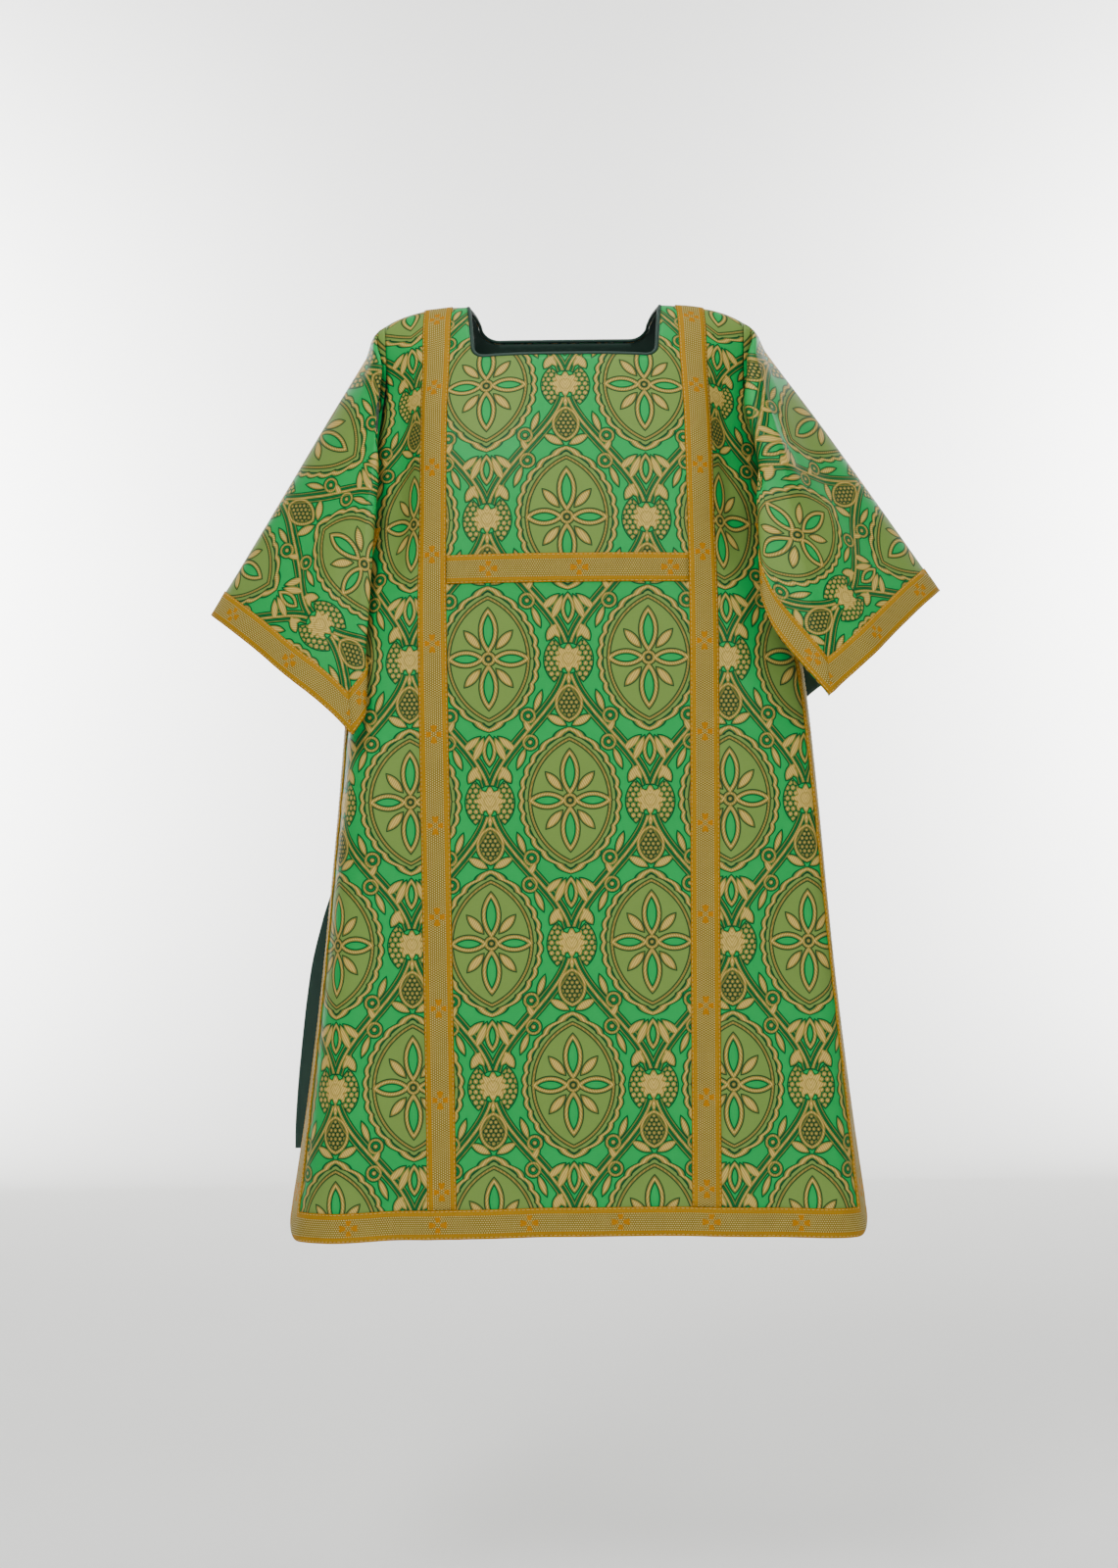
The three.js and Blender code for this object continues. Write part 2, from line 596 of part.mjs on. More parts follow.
// A tie's upper end lies on the lining along the front panel's edge; below it the ribbon turns to
// face forwards and hangs.
function addTie(name, rows, sign) {
  const under = -(WALL / 2 + TIE_LIFT + TIE_WALL / 2);
  const columns = [0, 1, 2, 3, 4];
  const last = columns.length - 1;
  const edgeAt = (down) => front.place(sign * front.half(down), down);
  const innerAt = (down) => front.place(sign * bandInner(front, down), down);
  const lines = [TIE_SEWN_AT, TIE_SEWN_AT + TIE_SEWN_LENGTH].map((down) => {
    const across = innerAt(down).sub(edgeAt(down));
    const normal = across.clone().cross(edgeAt(down + 1).sub(edgeAt(down)));
    const lift = normal.normalize().multiplyScalar(sign * under);
    return columns.map((i) => edgeAt(down).addScaledVector(across, mix(0.06, 1, i / last)).add(lift));
  });
  for (const row of rows) {
    lines.push(columns.map((i) => {
      const x = sign * (row.out + TIE_WIDTH * (0.5 - i / last));
      return new THREE.Vector3(x, -row.fore, -row.down);
    }));
  }
  const ribbon = new Sheet((line, step) => lines[line][step]);
  const ids = lines.map((line, i) => line.map((_, step) => ribbon.point(i, step)));
  for (let i = 0; i < ids.length - 1; i += 1) {
    for (let step = 0; step < last; step += 1) {
      const corners = [ids[i][step], ids[i + 1][step], ids[i + 1][step + 1], ids[i][step + 1]];
      if (sign > 0) corners.reverse();
      ribbon.quad(...corners, 'ribbon');
    }
  }
  addPiece(name, wall(ribbon, null, -TIE_WALL / 2, TIE_WALL / 2), LINING);
}

const cuts = { front: addPanel('front', front, NECK.front), back: addPanel('back', back, NECK.back) };
addSleeve('right', RIGHT_SLEEVE, -1);
addSleeve('left', LEFT_SLEEVE, 1);
addPiping(cuts);
addTie('right_tie', RIGHT_TIE, -1);
addTie('left_tie', LEFT_TIE, 1);

export default garment;
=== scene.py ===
"""A worn Roman tunicle: brocade panels and sleeves, woven galloons, piping, ties and its stage."""

import math

import bpy
import numpy as np
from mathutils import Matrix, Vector


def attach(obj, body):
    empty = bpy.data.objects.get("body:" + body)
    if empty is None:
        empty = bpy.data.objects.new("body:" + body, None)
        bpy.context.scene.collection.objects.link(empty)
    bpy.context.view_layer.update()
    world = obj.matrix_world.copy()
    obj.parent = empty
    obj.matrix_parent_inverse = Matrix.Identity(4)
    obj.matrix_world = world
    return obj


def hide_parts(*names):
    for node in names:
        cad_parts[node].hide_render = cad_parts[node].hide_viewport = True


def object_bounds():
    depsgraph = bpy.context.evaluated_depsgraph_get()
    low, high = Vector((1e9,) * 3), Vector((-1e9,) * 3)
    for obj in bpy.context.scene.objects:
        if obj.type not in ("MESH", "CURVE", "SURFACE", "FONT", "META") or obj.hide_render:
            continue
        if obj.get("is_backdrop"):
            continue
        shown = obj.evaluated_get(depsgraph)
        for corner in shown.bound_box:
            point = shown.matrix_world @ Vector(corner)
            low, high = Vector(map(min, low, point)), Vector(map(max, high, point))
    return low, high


bl_info = {
    "name": "Tunicle",
    "version": (1, 0, 0),
    "blender": (4, 5, 0),
    "location": "View3D > Sidebar > Tunicle",
    "description": "Makes a worn Roman tunicle of brocade, piece by piece, and a stage for it",
    "category": "Object",
}

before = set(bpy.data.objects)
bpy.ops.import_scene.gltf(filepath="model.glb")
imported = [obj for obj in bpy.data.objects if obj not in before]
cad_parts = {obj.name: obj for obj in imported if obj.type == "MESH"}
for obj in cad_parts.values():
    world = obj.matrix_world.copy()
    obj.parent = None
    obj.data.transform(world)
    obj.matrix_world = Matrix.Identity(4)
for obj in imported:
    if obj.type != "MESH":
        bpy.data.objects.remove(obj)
CAD_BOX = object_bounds()
MM = 0.001

# ---------------------------------------------------------------- tables of the worn form, mm
# Rows down a panel's centre line. down, fore: where the row lies. half: the cut's half width.
# bow: turn of the whole row at its edge; curl: extra turn of the last stretch, zone long, or
# zone_right on the wearer's right. droop: how much lower the edge lies, and late: how late in the
# row that sets in. stripe: middle of a stripe from the centre line. Turns are in degrees.
PANEL_COLUMNS = "down fore half bow curl zone zone_right droop late stripe".split()
FRONT_ROWS = [
    (0, 0, 205, 0, 0, 60, 60, 21, 6, 144),
    (7, 30, 206, 12, 0, 60, 60, 22, 5, 144),
    (25, 56, 208, 25, 0, 60, 60, 24, 4, 145),
    (69, 86, 214, 39, 0, 60, 60, 24, 3, 146),
    (115, 107, 224, 48, 0, 60, 60, 18, 3, 148),
    (175, 125, 239, 57, 0, 60, 60, 12, 3, 149),
    (270, 139, 262, 64, 0, 60, 64, 5, 2, 150),
    (380, 144, 284, 42, 40, 46, 80, 0, 2, 150),
    (491, 146, 298, 28, 56, 52, 96, 0, 2, 149),
    (750, 149, 324, 24, 60, 59, 94, 4, 2, 147),
    (900, 151, 340, 24, 56, 61, 92, 8, 2, 146),
    (1047, 152, 356, 24, 44, 68, 96, 13, 2, 145),
]
BACK_ROWS = [
    (0, 0, 205, 0, 0, 60, 60, 21, 6, 144),
    (8, 32, 206, 13, 0, 60, 60, 22, 5, 144),
    (30, 62, 208, 26, 0, 60, 60, 23, 4, 145),
    (72, 88, 214, 39, 0, 60, 60, 22, 3, 146),
    (120, 105, 224, 47, 0, 60, 60, 17, 3, 148),
    (180, 117, 239, 54, 0, 60, 60, 11, 3, 149),
    (272, 124, 260, 59, 0, 60, 60, 5, 2, 150),
    (380, 125, 276, 44, 28, 66, 80, 0, 2, 150),
    (491, 124, 290, 34, 46, 70, 88, 0, 2, 149),
    (750, 124, 318, 28, 52, 70, 92, 3, 2, 147),
    (900, 127, 337, 27, 50, 68, 88, 6, 2, 146),
    (1040, 131, 353, 26, 44, 66, 90, 10, 2, 145),
]
# Flutes that open towards the hem: at is the place across the cut, from_ where one starts.
FLUTE_COLUMNS = "at from_ wide swell".split()
FRONT_FLUTES = [
    (-262, 520, 34, 5.5),
    (-205, 640, 26, -3.5),
    (-70, 760, 48, 2.5),
    (92, 700, 42, -2.5),
    (214, 600, 30, -4),
    (272, 480, 32, 4.5),
]
BACK_FLUTES = [
    (-245, 500, 36, 7),
    (-150, 640, 38, -5),
    (-30, 560, 52, 6),
    (105, 680, 36, -4.5),
    (232, 540, 34, 6),
]
# A sleeve's free edge from the front seam foot round the cuff to the back one. along, across: the
# place in the cut, across below 0 in front; out, fore, down: as worn, from the shoulder point.
SLEEVE_COLUMNS = "along across out fore down".split()
RIGHT_SLEEVE = [
    (0, -260, 23, 57, 245),
    (80, -260, 44, 46, 302),
    (170, -260, 84, 48, 368),
    (262, -260, 62, 95, 402),
    (348, -260, 21, 141, 446),
    (392, -260, 33, 150, 474),
    (392, -130, 126, 98, 392),
    (392, 0, 204, 0, 332),
    (392, 130, 130, -86, 384),
    (392, 260, 52, -158, 452),
    (340, 260, 32, -142, 415),
    (255, 260, 66, -98, 384),
    (165, 260, 86, -30, 344),
    (80, 260, 47, -20, 298),
    (0, 260, 24, -54, 245),
]
LEFT_SLEEVE = [
    (0, -260, 23, 57, 245),
    (55, -260, 42, 46, 284),
    (118, -260, 82, 52, 314),
    (178, -260, 60, 106, 310),
    (240, -260, 11, 160, 308),
    (305, -260, 16, 190, 362),
    (392, -260, 75, 205, 438),
    (392, -130, 152, 128, 371),
    (392, 0, 220, 18, 315),
    (392, 130, 158, -78, 374),
    (392, 260, 80, -152, 432),
    (340, 260, 44, -140, 398),
    (255, 260, 70, -98, 372),
    (165, 260, 88, -36, 338),
    (80, 260, 47, -20, 296),
    (0, 260, 24, -54, 245),
]
# A tie below its sewn end: down and fore, and how far out its middle hangs.
TIE_COLUMNS = "down out fore".split()
RIGHT_TIE = [
    (655, 252, 47), (700, 266, 42), (760, 281, 40), (860, 294, 40), (930, 300, 41), (962, 301, 41),
]
LEFT_TIE = [
    (655, 254, 50), (700, 258, 46), (760, 262, 43), (860, 266, 42), (940, 268, 43), (975, 268, 43),
]
NECKS = {
    "front": {"top": 113, "foot": 106, "depth": 117, "round": 16},
    "back": {"top": 113, "foot": 100, "depth": 72, "round": 24},
}
# Creases pressed into a cut, from one point of it to another. width, depth: half width and height,
# below 0 for a trough; bend: how far its middle strays; tail: the share over which it dies away
# at its far end, 0 where it runs out over the edge.
CREASE_COLUMNS = "from_across from_down to_across to_down width depth bend tail".split()
FRONT_CREASES = [
    (-192, 50, -210, 430, 27, -13, 4, 0.3),
    (-158, 120, -146, 300, 20, 2.0, 6, 0.4),
    (190, 54, 206, 430, 25, -11, -4, 0.3),
    (160, 130, 172, 330, 18, 1.8, -6, 0.4),
    (-60, 128, -34, 430, 36, 1.8, 10, 0.5),
    (74, 124, 58, 400, 32, -1.8, -8, 0.5),
    (10, 380, -8, 700, 44, 1.5, 6, 0.5),
    (-246, 380, -222, 900, 20, 2.8, 8, 0.4),
    (-176, 520, -192, 1112, 24, -3.0, -9, 0),
    (-98, 640, -112, 1112, 30, 2.4, 6, 0),
    (-30, 760, -42, 1112, 22, -1.8, 4, 0),
    (22, 700, 16, 1112, 30, 1.9, -7, 0),
    (104, 540, 122, 1112, 26, -2.4, 9, 0),
    (182, 450, 206, 1112, 22, 2.8, -7, 0),
    (240, 520, 262, 1108, 18, -2.8, 6, 0),
    (-268, 700, -292, 1108, 16, -2.4, 4, 0),
    (-250, 428, -118, 470, 17, -1.5, -14, 0.5),
    (246, 440, 128, 508, 16, -1.3, 10, 0.5),
]
BACK_CREASES = [
    (-186, 30, -120, 300, 26, -4.8, 16, 0.4),
    (188, 34, 134, 320, 24, -4.4, -14, 0.4),
    (-228, 160, -206, 440, 17, 4.1, 8, 0.4),
    (226, 150, 198, 430, 18, 4.4, -8, 0.4),
    (-30, 90, -12, 480, 42, 4.1, 12, 0.5),
    (62, 120, 40, 420, 30, -3.4, -8, 0.5),
    (-214, 440, -236, 1105, 26, -7.1, 10, 0),
    (-142, 560, -128, 1105, 30, 6.1, -8, 0),
    (-62, 500, -72, 1105, 26, -5.8, 8, 0),
    (34, 600, 44, 1105, 34, 5.4, -10, 0),
    (118, 520, 138, 1105, 24, -6.1, 8, 0),
    (196, 460, 214, 1105, 26, 6.5, -8, 0),
    (262, 640, 286, 1105, 18, -5.1, 5, 0),
    (-270, 690, -294, 1105, 18, 4.8, -4, 0),
]
# In a sleeve the first number of each point is along it and the second across it.
RIGHT_SLEEVE_CREASES = [
    (24, -40, 372, -96, 24, -3.6, 14, 0.3),
    (50, -90, 392, -178, 22, 3.6, -12, 0),
    (90, -150, 350, -232, 16, -3.4, 8, 0.4),
    (40, 14, 392, 30, 26, 2.8, -10, 0),
    (60, 60, 392, 110, 24, -3.9, 12, 0),
    (60, 120, 370, 190, 20, 3.9, -10, 0.3),
    (180, -40, 392, -52, 18, -2.2, -6, 0),
]
LEFT_SLEEVE_CREASES = [
    (18, -58, 250, -120, 17, 7.5, 10, 0.4),
    (20, -92, 236, -164, 16, -6, 9, 0.4),
    (70, -34, 392, -62, 24, -2.9, 12, 0),
    (150, -150, 392, -176, 22, 3.4, -10, 0),
    (210, -200, 392, -232, 15, -2.9, 6, 0),
    (40, 16, 392, 24, 26, 2.6, 10, 0),
    (60, 66, 392, 120, 24, -3.6, -12, 0),
    (60, 126, 372, 196, 20, 3.6, 10, 0.3),
]

# Sizes that can be changed, in millimetres: label, description and default.
SIZES = {
    "wall": ("Cloth thickness", "Brocade, interlining and lining together", 2.4),
    "galloon": ("Galloon width", "Width of the woven galloon", 32.0),
    "galloon_wall": ("Galloon thickness", "Thickness of the woven galloon", 1.0),
    "galloon_lift": ("Galloon lift", "Gap between the cloth and a galloon that is sewn on it", 0.3),
    "seam": ("Seam gap", "Distance between two pieces at a seam", 0.5),
    "grain": ("Mesh step", "Distance between two rows of a cloth's mesh", 7.0),
    "piping": ("Piping radius", "Radius of the neck piping", 2.1),
    "tie": ("Tie width", "Width of a ribbon tie", 32.0),
    "stitch_pitch": ("Stitch pitch", "Distance from one stitch to the next", 5.0),
    "stitch_length": ("Stitch length", "Length of one stitch", 3.0),
    "thread": ("Thread radius", "Radius of the sewing thread", 0.28),
    "repeat_width": ("Repeat width", "Width of one repeat of the brocade", 176.0),
    "repeat_height": ("Repeat height", "Height of one repeat of the brocade", 312.0),
}
# Small leaves of the brocade: place from a medallion's middle, turn in degrees, half width and
# half length.
LEAVES = [
    (14, 88, -62, 4.4, 12), (0, 134, 0, 2.6, 7.5), (12, -100, 24, 4.4, 15),
    (20, -94, 50, 4.2, 13), (70, 29, -30, 5.0, 10.5), (74, 30, 34, 3.6, 9.0),
    (53, 46, 22, 3.4, 12), (54, -47, -20, 3.4, 12), (43, -76, 30, 3.6, 10),
]
BAR_DOWN = 352
SLEEVE_LENGTH, SLEEVE_HALF, SLEEVE_BOW, SEAM_EASE = 392, 260, 0.45, 45
HEM_ROUND = 36
# How sharply a row bows towards its edge, the share of a zone over which its curl sets in, and the
# share of a crease over which it rises at its near end.
BOW_POWER, CURL_SHARE, CREASE_RISE = 2.2, 0.75, 0.35
# Mesh: steps of a row's turning, runs that the mesh step divides, and where a sleeve's fan starts.
TURN_STEPS, SIDE_RUN, NECK_RUN, FAN_START = 24, 210, 180, 26
TIE_SEWN_AT, TIE_SEWN_LENGTH, TIE_WALL, TIE_LIFT, TIE_TUCK = 560, 24, 1.2, 1.9, 0.06
TIE_CREASES = [(10, 150, 18, 330, 6, 0.8, 2, 0.4), (24, 200, 14, 420, 5, -0.7, -2, 0)]
# The galloon's crosses: how far apart, and how far a bar's are moved along it.
CROSS_PITCH, BAR_CROSS_SHIFT = 100, 37
# Stitch lines: inside a galloon's inner edge, inside its outer one, and above it.
SEAM_STITCH, EDGE_STITCH, STITCH_LIFT = 1.4, 2.0, 0.05
# The stage, in metres and degrees.
FLOOR_LEVEL = -1.525
CAMERA_PLACE, CAMERA_LENS, CAMERA_ROLL = (-0.012, -3.0, -0.551), 59.67, 0.65
PAPER_HALF, PAPER_NEAR, PAPER_FAR, PAPER_BEND, PAPER_TOP = 7.0, -6.0, 3.4, 1.6, 7.0
# Each light's place, what it is aimed at, its watts and its width, in metres.
LIGHTS = {
    "key": ((-1.0, -3.0, 2.0), (0, 0, -0.45), 105, 1.3),
    "fill": ((1.3, -3.3, 1.1), (0, 0, -0.45), 46, 1.8),
    "top": ((0.1, -0.2, 2.4), (0, 0, -0.45), 36, 1.4),
    "backdrop_left": ((-2.8, 3.3, 0.3), (-2.8, 9, 0.3), 420, 2.0),
    "backdrop_right": ((2.8, 3.3, 0.3), (2.8, 9, 0.3), 420, 2.0),
}
SKY = 0.36


def linear(red, green, blue):
    """A colour given in 0 to 255 as the linear one that materials take."""
    shares = [part / 255 for part in (red, green, blue)]
    return tuple(s / 12.92 if s <= 0.04045 else ((s + 0.055) / 1.055) ** 2.4 for s in shares)


COLOURS = {
    "satin": ("Satin ground", "Green satin ground of the brocade", linear(8, 146, 68)),
    "field": ("Medallion field", "Olive twill inside the medallions", linear(101, 129, 60)),
    "gold": ("Gold thread", "Gold weft of the motifs", linear(194, 167, 84)),
    # Shaded gold is painted shade: gold darkens towards a motif's edges and is brightest, as a
    # painted highlight, in its middle.
    "old_gold": ("Shaded gold", "Gold weft where it dips under the green", linear(80, 69, 22)),
    "outline": ("Outline", "Dark green outline of the motifs", linear(2, 42, 24)),
    "lining": ("Lining", "Lining, piping and ties", linear(6, 46, 34)),
    "braid": ("Galloon ground", "Woven gold of the galloon's edges", linear(142, 115, 30)),
    "braid_mesh": ("Galloon mesh", "Pale knots of the galloon's middle", linear(186, 168, 98)),
    "braid_line": ("Galloon middle", "Gold behind the galloon's pale knots", linear(112, 92, 26)),
    "braid_edge": ("Galloon lines", "Yellow lines and crosses of the galloon", linear(164, 106, 2)),
    "paper": ("Stage", "Floor and backdrop", linear(246, 246, 244)),
}


# ---------------------------------------------------------------- the worn form
def table(columns, rows):
    return {name: np.array([row[i] for row in rows], float) for i, name in enumerate(columns)}


def column(keys, values):
    """A smooth curve through one column of a table, read at any key."""
    keys, values = np.asarray(keys, float), np.asarray(values, float)
    last = len(keys) - 1
    before, after = np.maximum(np.arange(last + 1) - 1, 0), np.minimum(np.arange(last + 1) + 1, last)
    slopes = (values[after] - values[before]) / (keys[after] - keys[before])

    def read(key):
        i = np.clip(np.searchsorted(keys, key, side="left") - 1, 0, last - 1)
        span = keys[i + 1] - keys[i]
        t = (key - keys[i]) / span
        rise = values[i + 1] - values[i]
        left, right = slopes[i] * span - rise, rise - slopes[i + 1] * span
        return values[i] + rise * t + t * (1 - t) * (left * (1 - t) + right * t)

    return read


def ease(value):
    share = np.clip(value, 0, 1)
    return share * share * (3 - 2 * share)


def unit(vectors):
    return vectors / np.maximum(np.linalg.norm(vectors, axis=-1, keepdims=True), 1e-12)


def hump(distance, wide):
    """1 on a line and nearly 0 at twice its half width."""
    return np.exp(-((distance / wide) ** 2))


def relief(creases, across, down):
    """How high the creases of a table stand at points of the cut."""
    height = np.zeros_like(across)
    for i in range(len(creases["width"])):
        row = {name: values[i] for name, values in creases.items()}
        run = np.array([row["to_across"] - row["from_across"], row["to_down"] - row["from_down"]])
        length = np.hypot(*run)
        x, y = across - row["from_across"], down - row["from_down"]
        t = (x * run[0] + y * run[1]) / length**2
        inside = np.clip(t, 0, 1)
        off = (x * run[1] - y * run[0]) / length - row["bend"] * 4 * inside * (1 - inside)
        fade = ease(t / CREASE_RISE)
        if row["tail"]:
            fade = fade * ease((1 - t) / row["tail"])
        height += row["depth"] * fade * hump(off, row["width"])
    return height


def ripple(at, seed):
    """A slow uneven wave, as a seam's pucker."""
    return (
        np.sin(at * 0.19 + seed) * 0.45
        + np.sin(at * 0.117 + seed * 2.3) * 0.4
        + np.sin(at * 0.31 + seed * 1.7) * 0.25
    )


class Form:
    """Carries points of a flat cut to the worn form. turn says which way is out."""

    def __init__(self, creases, turn):
        self.creases, self.turn = table(CREASE_COLUMNS, creases), turn

    def out(self, carry, a, b, step=0.8):
        first = carry(a + step, b) - carry(a - step, b)
        second = carry(a, b + step) - carry(a, b - step)
        return unit(np.cross(first, second)) * self.turn

    def worn(self, a, b):
        height = relief(self.creases, a, b) + self.pucker(a, b)
        return self.place(a, b) + self.out(self.place, a, b) * height[:, None]

    def skin(self, a, b):
        """Points of the worn form, and which way is out at each."""
        return self.worn(a, b), self.out(self.worn, a, b)


class PanelForm(Form):
    """The front or back panel. A point of its cut is across it and down its centre line."""

    def __init__(self, rows, flutes, creases, neck, side):
        super().__init__(creases, side)
        rows = table(PANEL_COLUMNS, rows)
        steps = np.hypot(np.diff(rows["down"]), np.diff(rows["fore"]))
        keys = np.r_[0, np.cumsum(steps)]
        self.read = {name: column(keys, values) for name, values in rows.items()}
        self.flutes, self.neck, self.side = table(FLUTE_COLUMNS, flutes), neck, side
        self.length = keys[-1]
        self.half, self.stripe = self.read["half"], self.read["stripe"]
        self.foot = float(self.edge(-1)(SLEEVE_HALF))

    def place(self, across, down):
        row = {name: read(down) for name, read in self.read.items()}
        zone = np.where(across < 0, row["zone_right"], row["zone"])
        reach, half = np.abs(across), row["half"]
        x, back = np.zeros_like(reach), np.zeros_like(reach)
        for i in range(TURN_STEPS):
            at = reach * (i + 0.5) / TURN_STEPS
            curl = ease((at - half + zone) / (zone * CURL_SHARE))
            turn = np.radians(row["bow"] * (at / half) ** BOW_POWER + row["curl"] * curl)
            x += np.cos(turn) * reach / TURN_STEPS
            back += np.sin(turn) * reach / TURN_STEPS
        flutes, swell = self.flutes, np.zeros_like(reach)
        for at, start, wide, height in zip(*(flutes[name] for name in FLUTE_COLUMNS)):
            opened = np.clip((down - start) / (self.length - start), 0, 1)
            swell += height * opened * hump(across - at, wide)
        z = -row["down"] - row["droop"] * (reach / half) ** row["late"]
        return np.stack([np.sign(across) * x, self.side * (row["fore"] - back + swell), z], -1)

    def pucker(self, across, down):
        """Puckers along the galloons' seams, and a dip at the shoulder and armhole seams."""
        width = size("galloon")
        reach, sign = np.abs(across), np.sign(across)
        stripe = np.abs(np.abs(reach - self.stripe(down)) - width / 2)
        edge, hem = np.abs(self.half(down) - reach - width), np.abs(self.length - down - width)
        bar = np.abs(np.abs(down - BAR_DOWN - width / 2) - width / 2)
        bar = np.where(reach < self.stripe(down), bar, 99)
        height = 0.42 * hump(stripe, 7) * ripple(down, 1.1 + sign)
        height += 0.5 * hump(edge, 8) * ripple(down, 2.9 + sign)
        height += 0.45 * hump(hem, 8) * ripple(across, 0.7)
        height += 0.3 * hump(bar, 6) * ripple(across, 4.1)
        seam = hump(down, 4) + hump(self.half(down) - reach, 3)
        return height - 0.5 * np.where(down < self.foot, np.clip(seam, 0, 1), 0)

    def edge(self, sign):
        """The side edge as a curve of its own length, for the sleeve that is sewn to it."""
        downs = np.linspace(0, 330, 61)
        points = self.place(sign * self.half(downs), downs)
        lengths = np.r_[0, np.cumsum(np.linalg.norm(np.diff(points, axis=0), axis=1))]
        return lambda distance: np.interp(distance, lengths, downs)

    def neck_half(self, down):
        neck = self.neck
        straight = neck["depth"] - neck["round"]
        down = np.minimum(down, neck["depth"])
        half = neck["top"] + (neck["foot"] - neck["top"]) * np.clip(down / straight, 0, 1)
        drop = np.maximum(0, down - straight)
        return half - neck["round"] + np.sqrt(np.maximum(0, neck["round"] ** 2 - drop**2))

    def cut_half(self, down):
        """The cut's half width, its hem corners rounded."""
        width = size("galloon")
        start = self.length - width
        sine = np.clip((down - start) / width, 0, 1)
        cosine = np.sqrt(1 - sine**2)
        flare = sine * (self.half(self.length) - self.half(start)) * cosine
        rounded = self.half(start) - HEM_ROUND + HEM_ROUND * cosine + flare
        return np.where(down < start, self.half(down), rounded)


class SleeveForm(Form):
    """A sleeve, which fans out from the shoulder point. A point of its cut is along and across."""

    def __init__(self, rows, creases, sign):
        super().__init__(creases, sign)
        rows = table(SLEEVE_COLUMNS, rows)
        reach = np.hypot(rows["along"], rows["across"])
        keys = np.arctan2(rows["across"], rows["along"])
        self.sign = sign
        self.spoke = [column(keys, rows[name] / reach) for name in ("out", "fore", "down")]
        self.sides = [(panel, panel.edge(sign)) for panel in (FRONT, BACK)]
        self.shoulder = FRONT.place(np.array([sign * FRONT.half(0.0)]), np.array([0.0]))

    def beside_seam(self, along, across):
        """A point beside the seam, level with the panel's edge there and running on from it."""
        found = []
        for panel, down_at in self.sides:
            at = down_at(np.maximum(np.abs(across), 0.2))
            start = panel.place(self.sign * (panel.half(at) + size("seam")), at)
            heading = unit(start - panel.place(self.sign * (panel.half(at) - 3), at))
            found.append(start + heading * along[:, None])
        return np.where(across[:, None] < 0, found[0], found[1])

    def place(self, along, across):
        reach, turn = np.hypot(along, across), np.arctan2(across, along)
        to_cuff = SLEEVE_LENGTH / np.maximum(np.cos(turn), 1e-6)
        to_underarm = SLEEVE_HALF / np.maximum(np.abs(np.sin(turn)), 1e-6)
        rim = np.minimum(to_cuff, to_underarm)
        swing = rim * (reach / rim) ** SLEEVE_BOW
        out, fore, down = (read(turn) for read in self.spoke)
        free = self.shoulder + np.stack([self.sign * out * reach, -fore * swing, -down * reach], -1)
        share = 1 - ease(along / SEAM_EASE)[:, None]
        return free + (self.beside_seam(along, across) - free) * share

    def pucker(self, along, across):
        """Puckers along the border's seam, and a groove at each of its mitres."""
        width = size("galloon")
        cuff = np.abs(SLEEVE_LENGTH - along - width)
        side = np.abs(SLEEVE_HALF - np.abs(across) - width)
        mitre = np.abs(SLEEVE_LENGTH - along - SLEEVE_HALF + np.abs(across)) + 9 * (side > width)
        height = 0.5 * hump(cuff, 8) * ripple(across, 1.9 + self.sign)
        height -= 0.7 * hump(mitre, 1.4) * (cuff <= width)
        height += 0.4 * hump(side, 8) * ripple(along, 3.3 + self.sign)
        return height * ease(along / 60) - 0.5 * hump(along, 3)


class TieForm(Form):
    """A ribbon tie. A point of its cut is over its width and down its length."""

    def __init__(self, rows, sign):
        super().__init__(TIE_CREASES, -sign)
        under = (size("wall") / 2 + TIE_LIFT + TIE_WALL / 2) * sign
        width = size("galloon")
        lines = []
        for down in (TIE_SEWN_AT, TIE_SEWN_AT + TIE_SEWN_LENGTH):
            outer, inner, below = (
                FRONT.place(np.array([sign * (FRONT.half(at) - inset)]), np.array([float(at)]))[0]
                for at, inset in ((down, 0), (down, width), (down + 1, 0))
            )
            over = inner - outer
            normal = unit(np.cross(over, below - outer))
            lines.append((outer + over * TIE_TUCK - normal * under, inner - normal * under))
        for down, out, fore in zip(*table(TIE_COLUMNS, rows).values()):
            lines.append([((out + side) * sign, -fore, -down) for side in (width / 2, -width / 2)])
        starts, ends = np.array(lines).transpose(1, 0, 2)
        middles = (starts + ends) / 2
        keys = np.r_[0, np.cumsum(np.linalg.norm(np.diff(middles, axis=0), axis=1))]
        self.length = keys[-1]
        self.sides = [[column(keys, side[:, i]) for i in range(3)] for side in (starts, ends)]

    def place(self, over, down):
        one, two = (np.stack([read(down) for read in side], -1) for side in self.sides)
        return one + (two - one) * (over / size("tie"))[:, None]

    def pucker(self, over, down):
        return 0.5 * np.sin(down / 38) * ease((down - 60) / 80)


FRONT = PanelForm(FRONT_ROWS, FRONT_FLUTES, FRONT_CREASES, NECKS["front"], -1)
BACK = PanelForm(BACK_ROWS, BACK_FLUTES, BACK_CREASES, NECKS["back"], 1)
PANELS = {"front": FRONT, "back": BACK}
SLEEVES = {
    "right": SleeveForm(RIGHT_SLEEVE, RIGHT_SLEEVE_CREASES, -1),
    "left": SleeveForm(LEFT_SLEEVE, LEFT_SLEEVE_CREASES, 1),
}


# ---------------------------------------------------------------- cuts and their shells
def patch(a, b, u=None, v=None):
    """A grid of points of the cut, with what its faces carry as their texture place."""
    a, b = np.broadcast_arrays(np.asarray(a, float), np.asarray(b, float))
    u = a if u is None else np.broadcast_to(u, a.shape)
    v = b if v is None else np.broadcast_to(v, a.shape)
    return a, b, u, v


